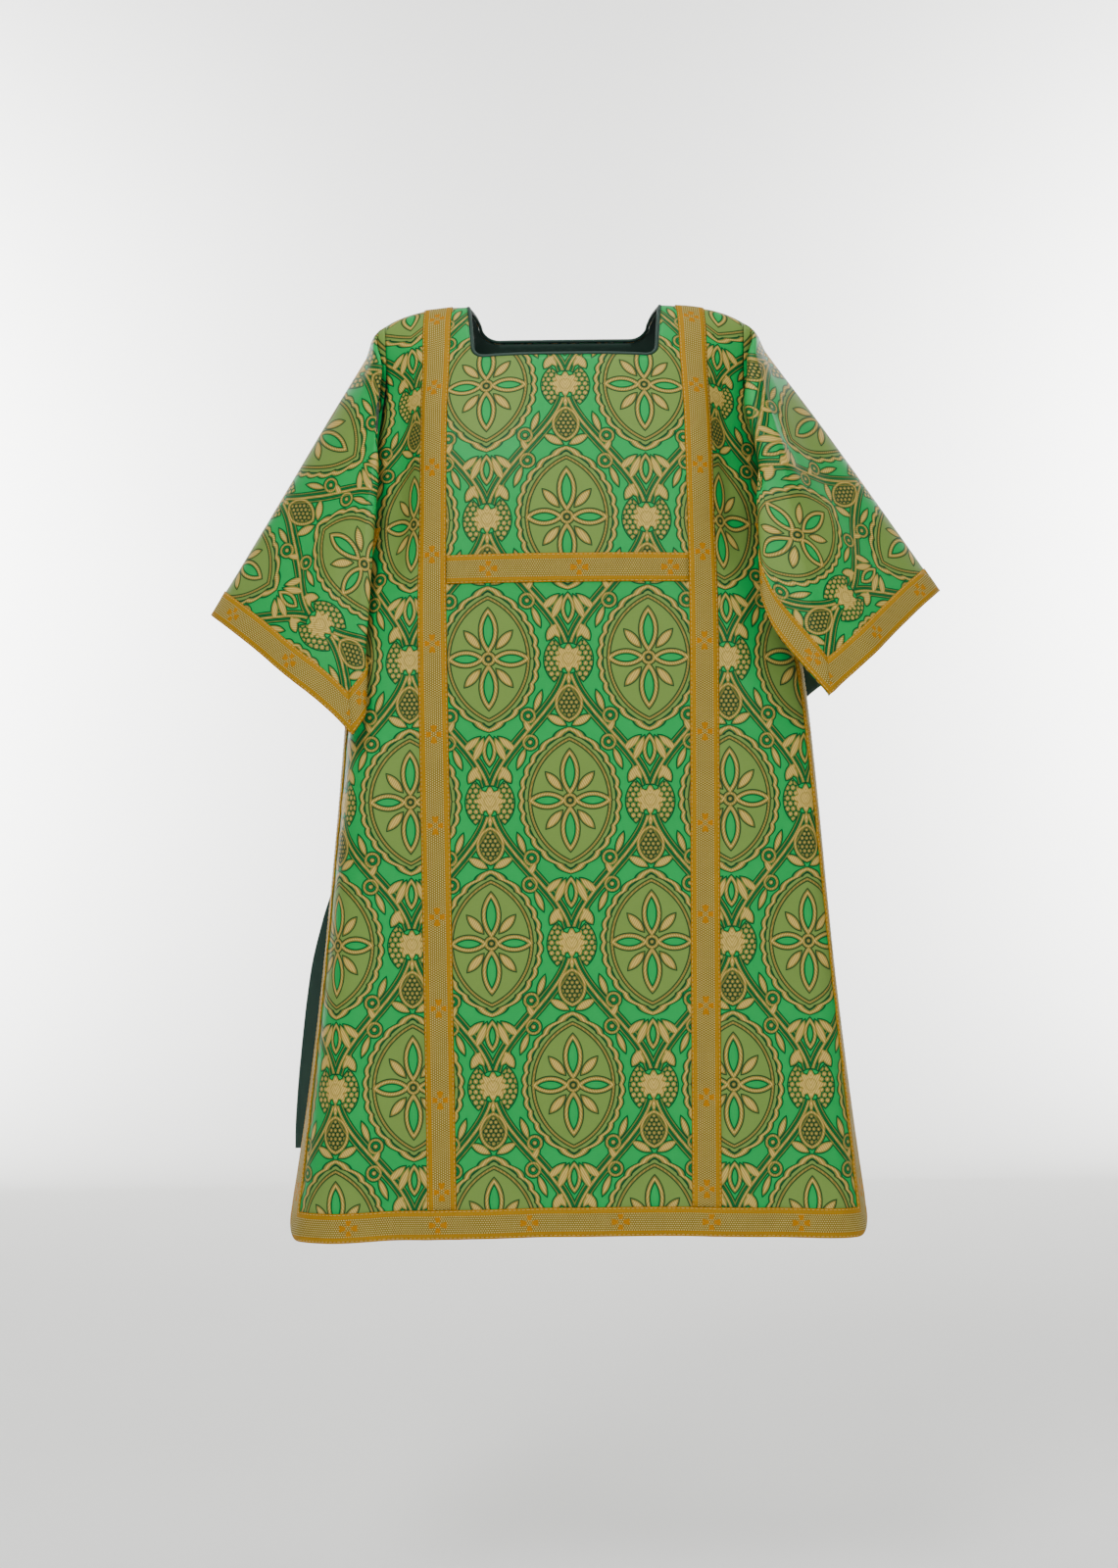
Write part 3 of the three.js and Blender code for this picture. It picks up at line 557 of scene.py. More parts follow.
def weld(patches):
    """Joins patches where they share points of the cut. Gives points, faces and texture places."""
    flat, places, faces, start = [], [], [], 0
    for a, b, u, v in patches:
        rows, columns = a.shape
        flat.append(np.stack([a.ravel(), b.ravel()], 1))
        places.append(np.stack([u.ravel(), v.ravel()], 1))
        index = start + np.arange(rows * columns).reshape(rows, columns)
        quads = [index[:-1, :-1], index[1:, :-1], index[1:, 1:], index[:-1, 1:]]
        run_a, run_b = np.diff(a, axis=0)[:, :-1], np.diff(b, axis=0)[:, :-1]
        if (run_a * np.diff(b)[:-1] - run_b * np.diff(a)[:-1]).sum() > 0:
            quads = quads[::-1]
        faces.append(np.stack([corner.ravel() for corner in quads], 1))
        start += rows * columns
    flat, places, faces = np.concatenate(flat), np.concatenate(places), np.concatenate(faces)
    _, first, welded = np.unique(
        np.round(flat * 20).astype(int), axis=0, return_index=True, return_inverse=True
    )
    welded = welded.ravel()
    points, kept = flat[first], []
    for face in faces:
        corners = []
        for corner in face:
            if welded[corner] not in [one for one, _ in corners]:
                corners.append((welded[corner], corner))
        if len(corners) > 2:
            kept.append(corners)
    faces = [[one for one, _ in corners] for corners in kept]
    return points, faces, [[tuple(places[corner]) for _, corner in corners] for corners in kept]


def shell(name, form, patches, low, high, finishes):
    """A closed wall between two distances from a form. finishes: outside and, if lined, inside."""
    points, faces, places = weld(patches)
    middle, out = form.skin(points[:, 0], points[:, 1])
    a, b, c = (middle[faces[0][i]] for i in range(3))
    if np.dot(np.cross(b - a, c - a), out[faces[0][0]]) < 0:
        faces = [face[::-1] for face in faces]
        places = [place[::-1] for place in places]
    count = len(points)
    vertices = np.concatenate([middle + out * high, middle + out * low]) * MM
    rims = {}
    for face, place in zip(faces, places):
        for i, one in enumerate(face):
            two = face[(i + 1) % len(face)]
            if rims.pop((two, one), None) is None:
                rims[(one, two)] = (place[i], place[(i + 1) % len(face)])
    inner = [[one + count for one in face[::-1]] for face in faces]
    edge = [[one, one + count, two + count, two] for one, two in rims]
    edge_places = [[p, p, q, q] for p, q in rims.values()]
    mesh = bpy.data.meshes.new(name)
    mesh.from_pydata(vertices.tolist(), [], faces + inner + edge)
    for finish in finishes:
        mesh.materials.append(finish)
    inside = len(finishes) - 1
    slots = [0] * len(faces) + [inside] * len(inner) + [0] * len(edge)
    mesh.polygons.foreach_set("material_index", slots)
    smooth = [True] * (len(faces) + len(inner)) + [False] * len(edge)
    mesh.polygons.foreach_set("use_smooth", smooth)
    layer = mesh.uv_layers.new(name="cut")
    corners = places + [place[::-1] for place in places] + edge_places
    layer.data.foreach_set("uv", [n * MM for place in corners for n in sum(place, ())])
    mesh.update()
    return linked(name, mesh)


def linked(name, mesh):
    piece = bpy.data.objects.new(name, mesh)
    bpy.context.scene.collection.objects.link(piece)
    return piece


def settled(piece, node):
    """The piece rides with the body and stands for its node, whose own part is hidden."""
    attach(piece, "root")
    if node:
        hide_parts(node)


def lined(name, node, form, patches):
    """A lined wall of brocade that stands for its node."""
    half_wall = size("wall") / 2
    cloths = [finish("brocade"), finish("lining")]
    settled(shell(name, form, patches, -half_wall, half_wall, cloths), node)


def rows_between(start, end, step):
    return np.linspace(start, end, max(2, int(math.ceil((end - start) / step)) + 1))


def panel_rows(form):
    """Rows of a panel's mesh: close round the neck's corners and the hem's."""
    step, neck, width = size("grain"), form.neck, size("galloon")
    straight, start = neck["depth"] - neck["round"], form.length - width
    corner = neck["round"] * np.sin(np.linspace(0, math.pi / 2, 9))
    hem = width * np.sin(np.linspace(0, math.pi / 2, 11))
    parts = [
        rows_between(size("seam") / 2, straight, step), straight + corner,
        rows_between(neck["depth"], start, step), start + hem,
    ]
    return np.unique(np.round(np.concatenate(parts), 3))


def panel_patches(form):
    rows = panel_rows(form)[:, None]
    edge, neck_edge = form.cut_half(rows), form.neck_half(rows)
    side = np.linspace(0, 1, int(SIDE_RUN / size("grain")) + 1)[None]
    reach = edge + (neck_edge - edge) * side
    below = rows[rows[:, 0] > form.neck["depth"] - 0.01]
    middle = form.neck_half(below) * np.linspace(-1, 1, int(NECK_RUN / size("grain")) + 1)[None]
    return [patch(-reach, rows), patch(reach, rows), patch(middle, below)]


def sleeve_spokes():
    """Places on a sleeve's free edge, from the front foot round the cuff to the back one."""
    sides = np.linspace(0, 1, 56)[:-1]
    sides = sides * (0.55 + 0.45 * sides)  # closer together near the seam
    sides = np.sort(np.r_[sides, 1 - 2 / SLEEVE_LENGTH])
    tip = 1 - 2 / SLEEVE_HALF
    cuff = np.unique(np.r_[np.linspace(-1, 1, 75), tip, -tip])
    along = np.r_[sides, np.ones(len(cuff)), sides[::-1]]
    across = np.r_[-np.ones(len(sides)), cuff, np.ones(len(sides))]
    return along[:, None], across[:, None]


def sleeve_patches(sign):
    along, across = sleeve_spokes()
    width = size("galloon")
    turn = np.arctan2(np.abs(across) * SLEEVE_HALF, along * SLEEVE_LENGTH) / (math.pi / 2)
    start = np.sign(across) * FAN_START * turn
    inner = along * (SLEEVE_LENGTH - width), across * (SLEEVE_HALF - width)
    ring = np.linspace(0, 1, 42)[None]
    band = np.linspace(0, 1, 6)[None]
    rows = inner[0] * ring, start + (inner[1] - start) * ring
    rim = inner[0] + along * width * band, inner[1] + across * width * band
    shoulder = FRONT_ROWS[0][2]
    return [patch(a, b, sign * (shoulder + a), -b) for a, b in (rows, rim)]


def stripe_patch(form, sign):
    width = size("galloon")
    rows = rows_between(size("seam") / 2, form.length - width - size("seam"), 6)[:, None]
    over = np.linspace(-width / 2, width / 2, 7)[None]
    return [patch(sign * form.stripe(rows) + over, rows, rows, over)]


def bar_patch(form):
    width, gap = size("galloon"), size("seam")
    down = np.linspace(BAR_DOWN, BAR_DOWN + width, 7)[:, None]
    reach = form.stripe(down) - width / 2 - gap
    share = np.linspace(-1, 1, 45)[None]
    across = reach * share
    return [patch(across, down, across + BAR_CROSS_SHIFT, down - BAR_DOWN - width / 2)]


def border_patches(form):
    """Both side bands, their rounded and mitred corners, and the hem band."""
    width, gap = size("galloon"), size("seam")
    start = form.length - width
    rows = rows_between(form.foot + gap, start, 6)[:, None]
    over = np.linspace(0, width, 7)[None]
    inner = form.half(start) - width
    patches = []
    for sign in (-1, 1):
        patches.append(patch(sign * (form.half(rows) - over), rows, rows, over - width / 2))
        for low, high in ((0, 45), (45, 90)):
            turn = np.radians(np.linspace(low, high, 7))[:, None]
            down = start + width * np.sin(turn)
            share = np.linspace(0, 1, 7)[None]
            a = inner + (form.cut_half(down) - inner) * share
            b = start + (down - start) * share
            side = (b, form.half(start) - a - width / 2)
            hem = (a, form.length - b - width / 2)
            patches.append(patch(sign * a, b, *(side if low == 0 else (sign * hem[0], hem[1]))))
    share = np.linspace(0, 1, 7)[:, None]
    down = start + (form.length - start) * share
    reach = inner + (form.cut_half(form.length) - inner) * share
    across = np.linspace(-1, 1, 101)[None] * reach
    patches.append(patch(across, down, across, form.length - down - width / 2))
    return patches


def sleeve_border_patches():
    along, across = sleeve_spokes()
    width = size("galloon")
    band = np.linspace(0, 1, 7)[None]
    a = along * (SLEEVE_LENGTH - width * (1 - band))
    b = across * (SLEEVE_HALF - width * (1 - band))
    on_cuff = np.isclose(along, 1)[:, 0]
    first, last = np.flatnonzero(on_cuff)[[0, -1]]
    parts = []
    for start, end in ((0, first + 1), (first, last + 1), (last, len(a))):
        rows = slice(start, end)
        u, v = a[rows], SLEEVE_HALF - np.abs(b[rows])
        if start == first:
            u, v = b[rows], SLEEVE_LENGTH - a[rows]
        parts.append(patch(a[rows], b[rows], u, v - width / 2))
    return parts


# ---------------------------------------------------------------- materials
def forward(operation):
    return lambda self, other: self.join(operation, self, other)


def reflected(operation):
    return lambda self, other: self.join(operation, other, self)


class Wire:
    """A value or a vector inside a material, which Python's own operators work on."""

    def __init__(self, paint, socket, vector=False):
        self.paint, self.socket, self.vector = paint, socket, vector

    def join(self, operation, *values):
        if any(isinstance(value, Wire) and value.vector for value in values):
            return self.paint.vector(operation, *values)
        return self.paint.math(operation, *values)

    __add__, __radd__ = forward("ADD"), reflected("ADD")
    __sub__, __rsub__ = forward("SUBTRACT"), reflected("SUBTRACT")
    __mul__, __rmul__ = forward("MULTIPLY"), reflected("MULTIPLY")
    __truediv__, __gt__ = forward("DIVIDE"), forward("GREATER_THAN")

    def __abs__(self):
        return self.join("ABSOLUTE", self)

    def least(self, *others):
        found = self
        for other in others:
            found = self.paint.math("MINIMUM", found, other)
        return found

    def most(self, other):
        return self.paint.math("MAXIMUM", self, other)

    def does(self, operation, *values, clamp=False):
        return self.paint.math(operation, self, *values, clamp=clamp)

    def wave(self, period):
        """A sine of this value with a period."""
        return (self * (2 * math.pi / period)).does("SINE")

    def length(self):
        return self.paint.vector("LENGTH", self)

    def moved(self, x, y, degrees=0):
        """The vector as seen from a motif that is placed at x, y and turned."""
        turn = (0, 0, math.radians(degrees))
        sockets = {"Vector": self, "Location": (x, y, 0), "Rotation": turn}
        return self.paint.wire("ShaderNodeMapping", {"vector_type": "TEXTURE"}, sockets, vector=True)

    def leaf(self, half_width, half_length):
        """Distance from a leaf with two pointed ends that lies along the second axis."""
        bulge = (half_length**2 - half_width**2) / (2 * half_width)
        return (abs(self) + (bulge, 0, 0)).length() - (bulge + half_width)

    def line(self, at, half):
        """Distance from a line that runs where this distance is at."""
        return abs(self - at) - half

    def cover(self, soft=0.8):
        """1 where a distance is below 0, and 0 outside, with a soft edge."""
        return self.does("MULTIPLY_ADD", -1 / soft, 0.5, clamp=True)


class Nodes:
    """Fills a node tree."""

    def node(self, kind, settings=None, sockets=None):
        """Adds a node, sets it, then gives its sockets their values or links. Gives its outputs."""
        made = self.tree.nodes.new(kind)
        for name, value in (settings or {}).items():
            setattr(made, name, value)
        for name, value in (sockets or {}).items():
            self.feed(made.inputs[name], value)
        return made.outputs

    def feed(self, socket, value):
        value = value.socket if isinstance(value, Wire) else value
        if isinstance(value, bpy.types.NodeSocket):
            self.tree.links.new(value, socket)
        elif socket.type in ("VECTOR", "RGBA") and not hasattr(value, "__len__"):
            socket.default_value = (value,) * len(socket.default_value)
        else:
            socket.default_value = (*value, 1) if socket.type == "RGBA" else value


class Paint(Nodes):
    """One material and the nodes that it is made of."""

    def __init__(self, name, **constants):
        self.material = bpy.data.materials.new(name)
        self.material.use_nodes = True
        self.tree = self.material.node_tree
        self.tree.nodes.clear()
        self.shader = self.tree.nodes.new("ShaderNodeBsdfPrincipled")
        self.set(constants)
        self.node("ShaderNodeOutputMaterial", {}, {"Surface": self.shader.outputs[0]})

    def set(self, values):
        for name, value in values.items():
            self.feed(self.shader.inputs[name], value)

    def wire(self, kind, settings=None, sockets=None, output=0, vector=False):
        return Wire(self, self.node(kind, settings, sockets)[output], vector)

    def math(self, operation, *values, clamp=False):
        settings = {"operation": operation, "use_clamp": clamp}
        return self.wire("ShaderNodeMath", settings, dict(enumerate(values)))

    def vector(self, operation, *values):
        output, vector = (1, False) if operation == "LENGTH" else (0, True)
        sockets = dict(enumerate(values))
        return self.wire("ShaderNodeVectorMath", {"operation": operation}, sockets, output, vector)

    def combine(self, x, y, z=0.0):
        return self.wire("ShaderNodeCombineXYZ", {}, {"X": x, "Y": y, "Z": z}, vector=True)

    def parts(self, vector):
        return [Wire(self, part) for part in self.node("ShaderNodeSeparateXYZ", {}, {0: vector})]

    def cut(self):
        """Places in the flat cut, in millimetres."""
        return self.wire("ShaderNodeUVMap", {"uv_map": "cut"}, vector=True) * (1000, 1000, 0)

    def place(self):
        """Places on the object, in metres."""
        return self.wire("ShaderNodeTexCoord", output="Object", vector=True)

    def mix(self, share, one, two, blend="MIX"):
        settings = {"data_type": "RGBA", "blend_type": blend}
        return self.wire("ShaderNodeMix", settings, {0: share, 6: one, 7: two}, 2)

    def noise(self, at, scale, detail=2.0):
        return self.wire("ShaderNodeTexNoise", {}, {"Vector": at, "Scale": scale, "Detail": detail})

    def shade(self, colour, amount):
        """The colour made lighter or darker by a value, 1 leaves it."""
        return self.mix(1.0, colour, self.combine(amount, amount, amount), "MULTIPLY")

    def finish(self, colour, height=None, distance=0.0003, strength=0.5, **varying):
        varying["Base Color"] = colour
        if height is not None:
            sockets = {"Height": height, "Distance": distance, "Strength": strength}
            varying["Normal"] = self.wire("ShaderNodeBump", {}, sockets)
        self.set(varying)
        return self.material


def ogee(paint, at, width, height):
    """Folds the cut into half-drop ogee cells. Gives the place in the nearest cell, the distance
    to its edge, and the place beside the nearest knot of the lattice."""
    x, y, _ = paint.parts(at)
    u, v = x / width, y / height
    p = abs(u - u.does("ROUND"))
    q = v - v.does("ROUND")
    own = (q * (2 * math.pi)).does("COSINE") * 0.25 + 0.25 > p
    cell_x = (0.5 - p + own * (p * 2 - 0.5)) * width
    cell_y = (q - q.does("SIGN") * 0.5 * (1 - own)) * -height
    turn = cell_y * (2 * math.pi / height)
    slope = turn.does("SINE")
    edge = (turn.does("COSINE") * (width / 4) + width / 4 - cell_x) * (1 - slope * slope * 0.25)
    aside = p > abs(q)
    knot_x = (p + aside * (0.5 - p * 2)) * width
    knot_y = (0.5 - abs(q) + aside * (abs(q) * 2 - 0.5)) * height
    return paint.combine(cell_x, cell_y), edge, paint.combine(knot_x, knot_y)


def brocade():
    """Green satin with gold ogees, olive medallions, fruit, grapes, leaves and rosettes."""
    paint = Paint("green_gold_brocade", **{"Specular IOR Level": 0.1})
    cut = paint.cut()
    cell, edge, knot = ogee(paint, cut, size("repeat_width"), size("repeat_height"))
    cell_x, cell_y, _ = paint.parts(cell)

    medallion = cell.leaf(50, 74)
    scallop = medallion - 4.2 - abs(cell_y.wave(28)) * 2.4
    upright = abs(cell)
    petals = upright.moved(0, 31).leaf(10, 25).least(upright.moved(25, 0, 90).leaf(9, 21))
    between = upright.moved(17.5, 21, -42).leaf(4.5, 13)
    boss = cell.length()
    fruit = cell.moved(0, 107).leaf(15.5, 21)
    scales = berries(paint, cell, 5.4, 1.9)
    bud = cell.moved(0, -101).leaf(7.5, 17)
    bunch = cell.moved(72, -2).leaf(10.5, 23)
    grapes = berries(paint, cell, 6.6, 2.75).most(bunch)
    leaves = [cell.moved(x, y, turn).leaf(wide, long) for x, y, turn, wide, long in LEAVES]
    high, low = cell.moved(43, 64).length(), cell.moved(43, -63).length()
    curls = high.line(7.2, 1.4).least(low.line(7.2, 1.4), high - 2.4, low - 2.4)
    x, y, _ = paint.parts(knot)
    lobes = (y.does("ARCTAN2", x) * 8).does("COSINE")
    rosette = knot.length()
    star = rosette - 13.5 - lobes * 2.2

    band = (edge - 1.7).least(edge.line(5.4, 0.55)).most(17.6 - rosette)
    gold = leaves[0].least(
        *leaves[1:],
        (scallop + 2.2).line(0, 2.2), medallion.line(-6, 1.1), petals.line(-2, 2), between,
        boss.line(6, 1.6), boss - 2, fruit.line(-1.7, 1.7), scales.most(fruit + 4.6),
        bud.line(-1.8, 1.8), grapes, curls, band, star,
    )
    field = medallion.least(fruit)
    inked = gold.line(0.8, 0.6).least(
        medallion.line(0.3, 0.6), rosette.line(6.5, 0.7), (petals + 4.9).line(0, 0.4)
    )

    threads = paint.noise(cut * (0.16, 1.5, 1), 1.0)
    warp = paint.noise(cut * (1.7, 0.1, 1), 1.0, 1.0)
    hatch = (cell_x + cell_y * 0.55).wave(2.7)
    cloudy = paint.noise(cut, 0.012)
    is_gold = gold.cover(0.7)
    is_field = field.cover(0.9)
    ink = inked.cover(0.7) * (1 - is_gold * 0.7)
    # raised: how far inside the gold; it lifts the bump and also sets the gold's painted shade and
    # painted highlight.
    raised = gold.does("MULTIPLY", -0.55, clamp=True)

    ground = paint.mix(is_field, colour("satin"), colour("field"))
    ground = paint.mix((petals + 3.5).cover(), ground, colour("satin"))
    # Painted shade and highlight: gold turns to shaded gold at a motif's edges and is brightest in
    # its middle, crossed by the woven hatch.
    painted_relief_gold = paint.mix(raised * (0.76 - hatch * 0.3), colour("old_gold"), colour("gold"))
    shown = paint.mix(is_gold, ground, painted_relief_gold)
    shown = paint.mix(ink, shown, colour("outline"))
    shown = paint.shade(shown, 0.84 + threads * 0.16 + warp * 0.08 + cloudy * 0.12)
    rough = 0.38 + is_gold * 0.08 + is_field * 0.1 + threads * 0.06
    height = raised * 0.8 + is_gold * hatch * 0.1 + is_field * 0.2 + threads * 0.5 - ink * 0.35
    return paint.finish(shown, height, 0.0004, Roughness=rough)


def berries(paint, at, pitch, radius):
    """Distance from round berries that are packed in rows."""
    found = []
    for shift in (0.0, 0.5):
        share = paint.vector("FRACTION", at / (pitch, pitch * 1.732, 1) + (shift, shift, 0))
        found.append(((share - (0.5, 0.5, 0)) * (pitch, pitch * 1.732, 0)).length() - radius)
    return found[0].least(found[1])


def galloon():
    """Woven gold galloon: pale mesh down its middle, yellow edges and small plain crosses."""
    paint = Paint("gold_galloon", **{"Specular IOR Level": 0.04})
    cut = paint.cut()
    along, over, _ = paint.parts(cut)
    reach = size("galloon") / 2 - abs(over)
    knots = berries(paint, cut, 2.6, 0.72)
    middle = (reach - 5.6).does("MULTIPLY", 2.0, clamp=True)
    zigzag = abs((along / 4.4).does("FRACT") - 0.5) * 4.0
    chain = (reach - 2.0 - zigzag).line(0, 0.5)
    lines = chain.least(reach.line(5.4, 0.45), reach.line(0.7, 0.5))
    x = abs((along / CROSS_PITCH).does("FRACT") * CROSS_PITCH - CROSS_PITCH / 2)
    y = abs(over)
    arms = (x - 1.2 - y * 0.24).most(y - 8.6).least((y - 1.2 - x * 0.24).most(x - 9.8))
    cross = arms.most(3.0 - (x * x + y * y).does("SQRT"))
    ribs, weft = along.wave(1.3), paint.noise(cut * (2.4, 0.7, 1), 1.0)
    cloudy = paint.noise(cut, 0.05)

    shown = paint.mix(middle, colour("braid"), colour("braid_line"))
    shown = paint.mix(knots.cover(0.5) * middle, shown, colour("braid_mesh"))
    shown = paint.mix(lines.cover(0.5), shown, colour("braid_edge"))
    shown = paint.mix(cross.cover(), shown, colour("braid_edge"))
    shown = paint.shade(shown, 0.8 + weft * 0.26 + cloudy * 0.16 + ribs * 0.04)
    height = middle * knots.cover(0.5) * 0.8 + weft * 0.4 + ribs * 0.15 + lines.cover() * 0.6
    height = height + cross.cover() * 0.3
    return paint.finish(shown, height, 0.0005, 0.7, Roughness=0.56 + weft * 0.14)


def lining_cloth():
    """Dark green lining with a fine diagonal twill."""
    paint = Paint("green_lining", **{"Specular IOR Level": 0.35, "Sheen Weight": 0.25})
    cut = paint.cut()
    x, y, _ = paint.parts(cut)
    twill = (x + y).wave(1.5)
    slub, cloudy = paint.noise(cut * (0.2, 1.6, 1), 1.0), paint.noise(cut, 0.02)
    shown = paint.shade(colour("lining"), 0.76 + slub * 0.26 + cloudy * 0.2 + twill * 0.04)
    return paint.finish(shown, twill * 0.35 + slub * 0.6, Roughness=0.5 + slub * 0.15)


def solid_thread(name, key, roughness):
    """Thread or narrow cord: fine twisted strands along the surface."""
    paint = Paint(name, **{"Specular IOR Level": 0.4})
    at = paint.place() * (1000, 1000, 1000)
    x, y, z = paint.parts(at)
    strand, fuzz = (x + y + z).wave(1.4), paint.noise(at, 0.9)
    shown = paint.shade(colour(key), 0.8 + fuzz * 0.3 + strand * 0.06)
    height = strand * 0.5 + fuzz * 0.5
    return paint.finish(shown, height, 0.0002, Roughness=roughness + fuzz * 0.1)


def paper():
    """Matte paper of the floor and backdrop."""
    paint = Paint("pale_paper", **{"Specular IOR Level": 0.1})
    grain = paint.noise(paint.place(), 3.0)
    shown = paint.shade(colour("paper"), 0.99 + grain * 0.02)
    return paint.finish(shown, Roughness=0.85 + grain * 0.1)


FINISHES = {
    "brocade": brocade,
    "galloon": galloon,
    "lining": lining_cloth,
    "piping": lambda: solid_thread("piping_cord", "lining", 0.5),
    "thread": lambda: solid_thread("gold_thread", "gold", 0.45),
    "paper": paper,
}
MADE = {}


def finish(name):
    """A finish, made the first time that it is asked for."""
    if name not in MADE:
        MADE[name] = FINISHES[name]()
    return MADE[name]


# ---------------------------------------------------------------- geometry nodes
class Tree(Nodes):
    """A geometry node tree with named inputs."""

    def __init__(self, name, inputs):
        self.tree = bpy.data.node_groups.new(name, "GeometryNodeTree")
        sockets = [("Geometry", "INPUT", "Geometry"), ("Geometry", "OUTPUT", "Geometry")]
        sockets += [(label, "INPUT", kind) for label, kind in inputs.items()]
        for label, way, kind in sockets:
            self.tree.interface.new_socket(name=label, in_out=way, socket_type="NodeSocket" + kind)
        self.given = self.node("NodeGroupInput")
        self.line = self.step("MeshToCurve", Mesh=self.given["Geometry"])[0]

    def step(self, kind, **sockets):
        return self.node("GeometryNode" + kind, {}, sockets)

    def finish(self, geometry):
        whole = self.step("RealizeInstances", Geometry=geometry)[0]
        painted = self.step("SetMaterial", Geometry=whole, Material=self.given["Material"])[0]
        self.node("NodeGroupOutput", {}, {0: painted})
        return self.tree


def stitch_tree():
    """Short round stitches, one after another along every line of the mesh."""
    inputs = {"Pitch": "Float", "Length": "Float", "Thread": "Float", "Seed": "Int"}
    tree = Tree("stitches", inputs | {"Material": "Material"})
    given = tree.given
    points = tree.node(
        "GeometryNodeCurveToPoints", {"mode": "LENGTH"},
        {"Curve": tree.line, "Length": given["Pitch"]},
    )
    turn = tree.node(
        "FunctionNodeAlignRotationToVector", {"axis": "Z"}, {"Vector": points["Tangent"]}
    )
    vary = tree.node(
        "FunctionNodeRandomValue", {"data_type": "FLOAT"},
        {"Min": 0.86, "Max": 1.1, "Seed": given["Seed"]},
    )
    stitch = tree.node(
        "GeometryNodeMeshCylinder", {"fill_type": "NGON"},
        {"Vertices": 5, "Radius": given["Thread"], "Depth": given["Length"]},
    )
    placed = tree.step(
        "InstanceOnPoints", Points=points["Points"], Instance=stitch["Mesh"],
        Rotation=turn[0], Scale=vary[1],
    )
    return tree.finish(placed[0])


def cord_tree():
    """A round cord along every line of the mesh."""
    tree = Tree("cord", {"Radius": "Float", "Sides": "Int", "Material": "Material"})
    given = tree.given
    ring = tree.step("CurvePrimitiveCircle", Resolution=given["Sides"], Radius=given["Radius"])
    tube = tree.node(
        "GeometryNodeCurveToMesh", {}, {"Curve": tree.line, "Profile Curve": ring[0]}
    )
    return tree.finish(tree.step("SetShadeSmooth", Geometry=tube[0])[0])


def grown(name, lines, tree, values):
    """Runs a tree on a mesh of lines, and keeps the result as a plain mesh."""
    points, edges = [], []
    for line, closed in lines:
        start = len(points)
        points += (line * MM).tolist()
        edges += [(start + i, start + i + 1) for i in range(len(line) - 1)]
        if closed:
            edges.append((start + len(line) - 1, start))
    mesh = bpy.data.meshes.new(name + "_lines")
    mesh.from_pydata(points, edges, [])
    piece = linked(name, mesh)
    modifier = piece.modifiers.new(name, "NODES")
    modifier.node_group = tree
    for item in tree.interface.items_tree:
        if item.in_out == "INPUT" and item.name in values:
            modifier[item.identifier] = values[item.name]
    bpy.context.view_layer.update()
    seen = piece.evaluated_get(bpy.context.evaluated_depsgraph_get())
    plain = bpy.data.meshes.new_from_object(seen)
    plain.name = name
    piece.modifiers.clear()
    piece.data = plain
    bpy.data.meshes.remove(mesh)
    return piece


# ---------------------------------------------------------------- properties
def size_property(label, text, value):
    return bpy.props.FloatProperty(
        name=label, description=text, default=value * MM, min=0.00001, unit="LENGTH", precision=5
    )


def colour_property(label, text, value):
    return bpy.props.FloatVectorProperty(
        name=label, description=text, default=value, subtype="COLOR", size=3, min=0, max=1
    )


class TunicleSizes(bpy.types.PropertyGroup):
    """Sizes of the cloth."""

    __annotations__ = {key: size_property(*row) for key, row in SIZES.items()}


class TunicleColours(bpy.types.PropertyGroup):
    """Colours of the cloth."""

    __annotations__ = {key: colour_property(*row) for key, row in COLOURS.items()}


def size(name):
    """A size in millimetres, to the tenth of a micrometre."""
    return round(getattr(bpy.context.scene.tunicle_sizes, name) / MM, 4)


def colour(name):
    return tuple(getattr(bpy.context.scene.tunicle_colours, name))


# ---------------------------------------------------------------- operators
class TUNICLE_OT_panels(bpy.types.Operator):
    """Make the front and back panels of lined brocade"""

    bl_idname = "tunicle.panels"
    bl_label = "Panels"

    def execute(self, context):
        for name, form in PANELS.items():
            lined(f"{name}_cloth", f"{name}_panel", form, panel_patches(form))
        return {"FINISHED"}


class TUNICLE_OT_sleeves(bpy.types.Operator):
    """Make both sleeves of lined brocade"""

    bl_idname = "tunicle.sleeves"
    bl_label = "Sleeves"

    def execute(self, context):
        for name, form in SLEEVES.items():
            lined(f"{name}_sleeve_cloth", f"{name}_sleeve", form, sleeve_patches(form.sign))
        return {"FINISHED"}


class TUNICLE_OT_galloons(bpy.types.Operator):
    """Make the stripes, bars and borders of woven galloon"""

    bl_idname = "tunicle.galloons"
    bl_label = "Galloons"

    def execute(self, context):
        low = size("wall") / 2 + size("galloon_lift")
        high = low + size("galloon_wall")
        cuts = {}
        for name, form in PANELS.items():
            cuts[f"{name}_right_stripe"] = form, stripe_patch(form, -1)
            cuts[f"{name}_left_stripe"] = form, stripe_patch(form, 1)
            cuts[f"{name}_bar"] = form, bar_patch(form)
            cuts[f"{name}_border"] = form, border_patches(form)
        for name, form in SLEEVES.items():
            cuts[f"{name}_sleeve_border"] = form, sleeve_border_patches()
        for node, (form, patches) in cuts.items():
            piece = shell(f"{node}_galloon", form, patches, low, high, [finish("galloon")])
            settled(piece, node)
        return {"FINISHED"}


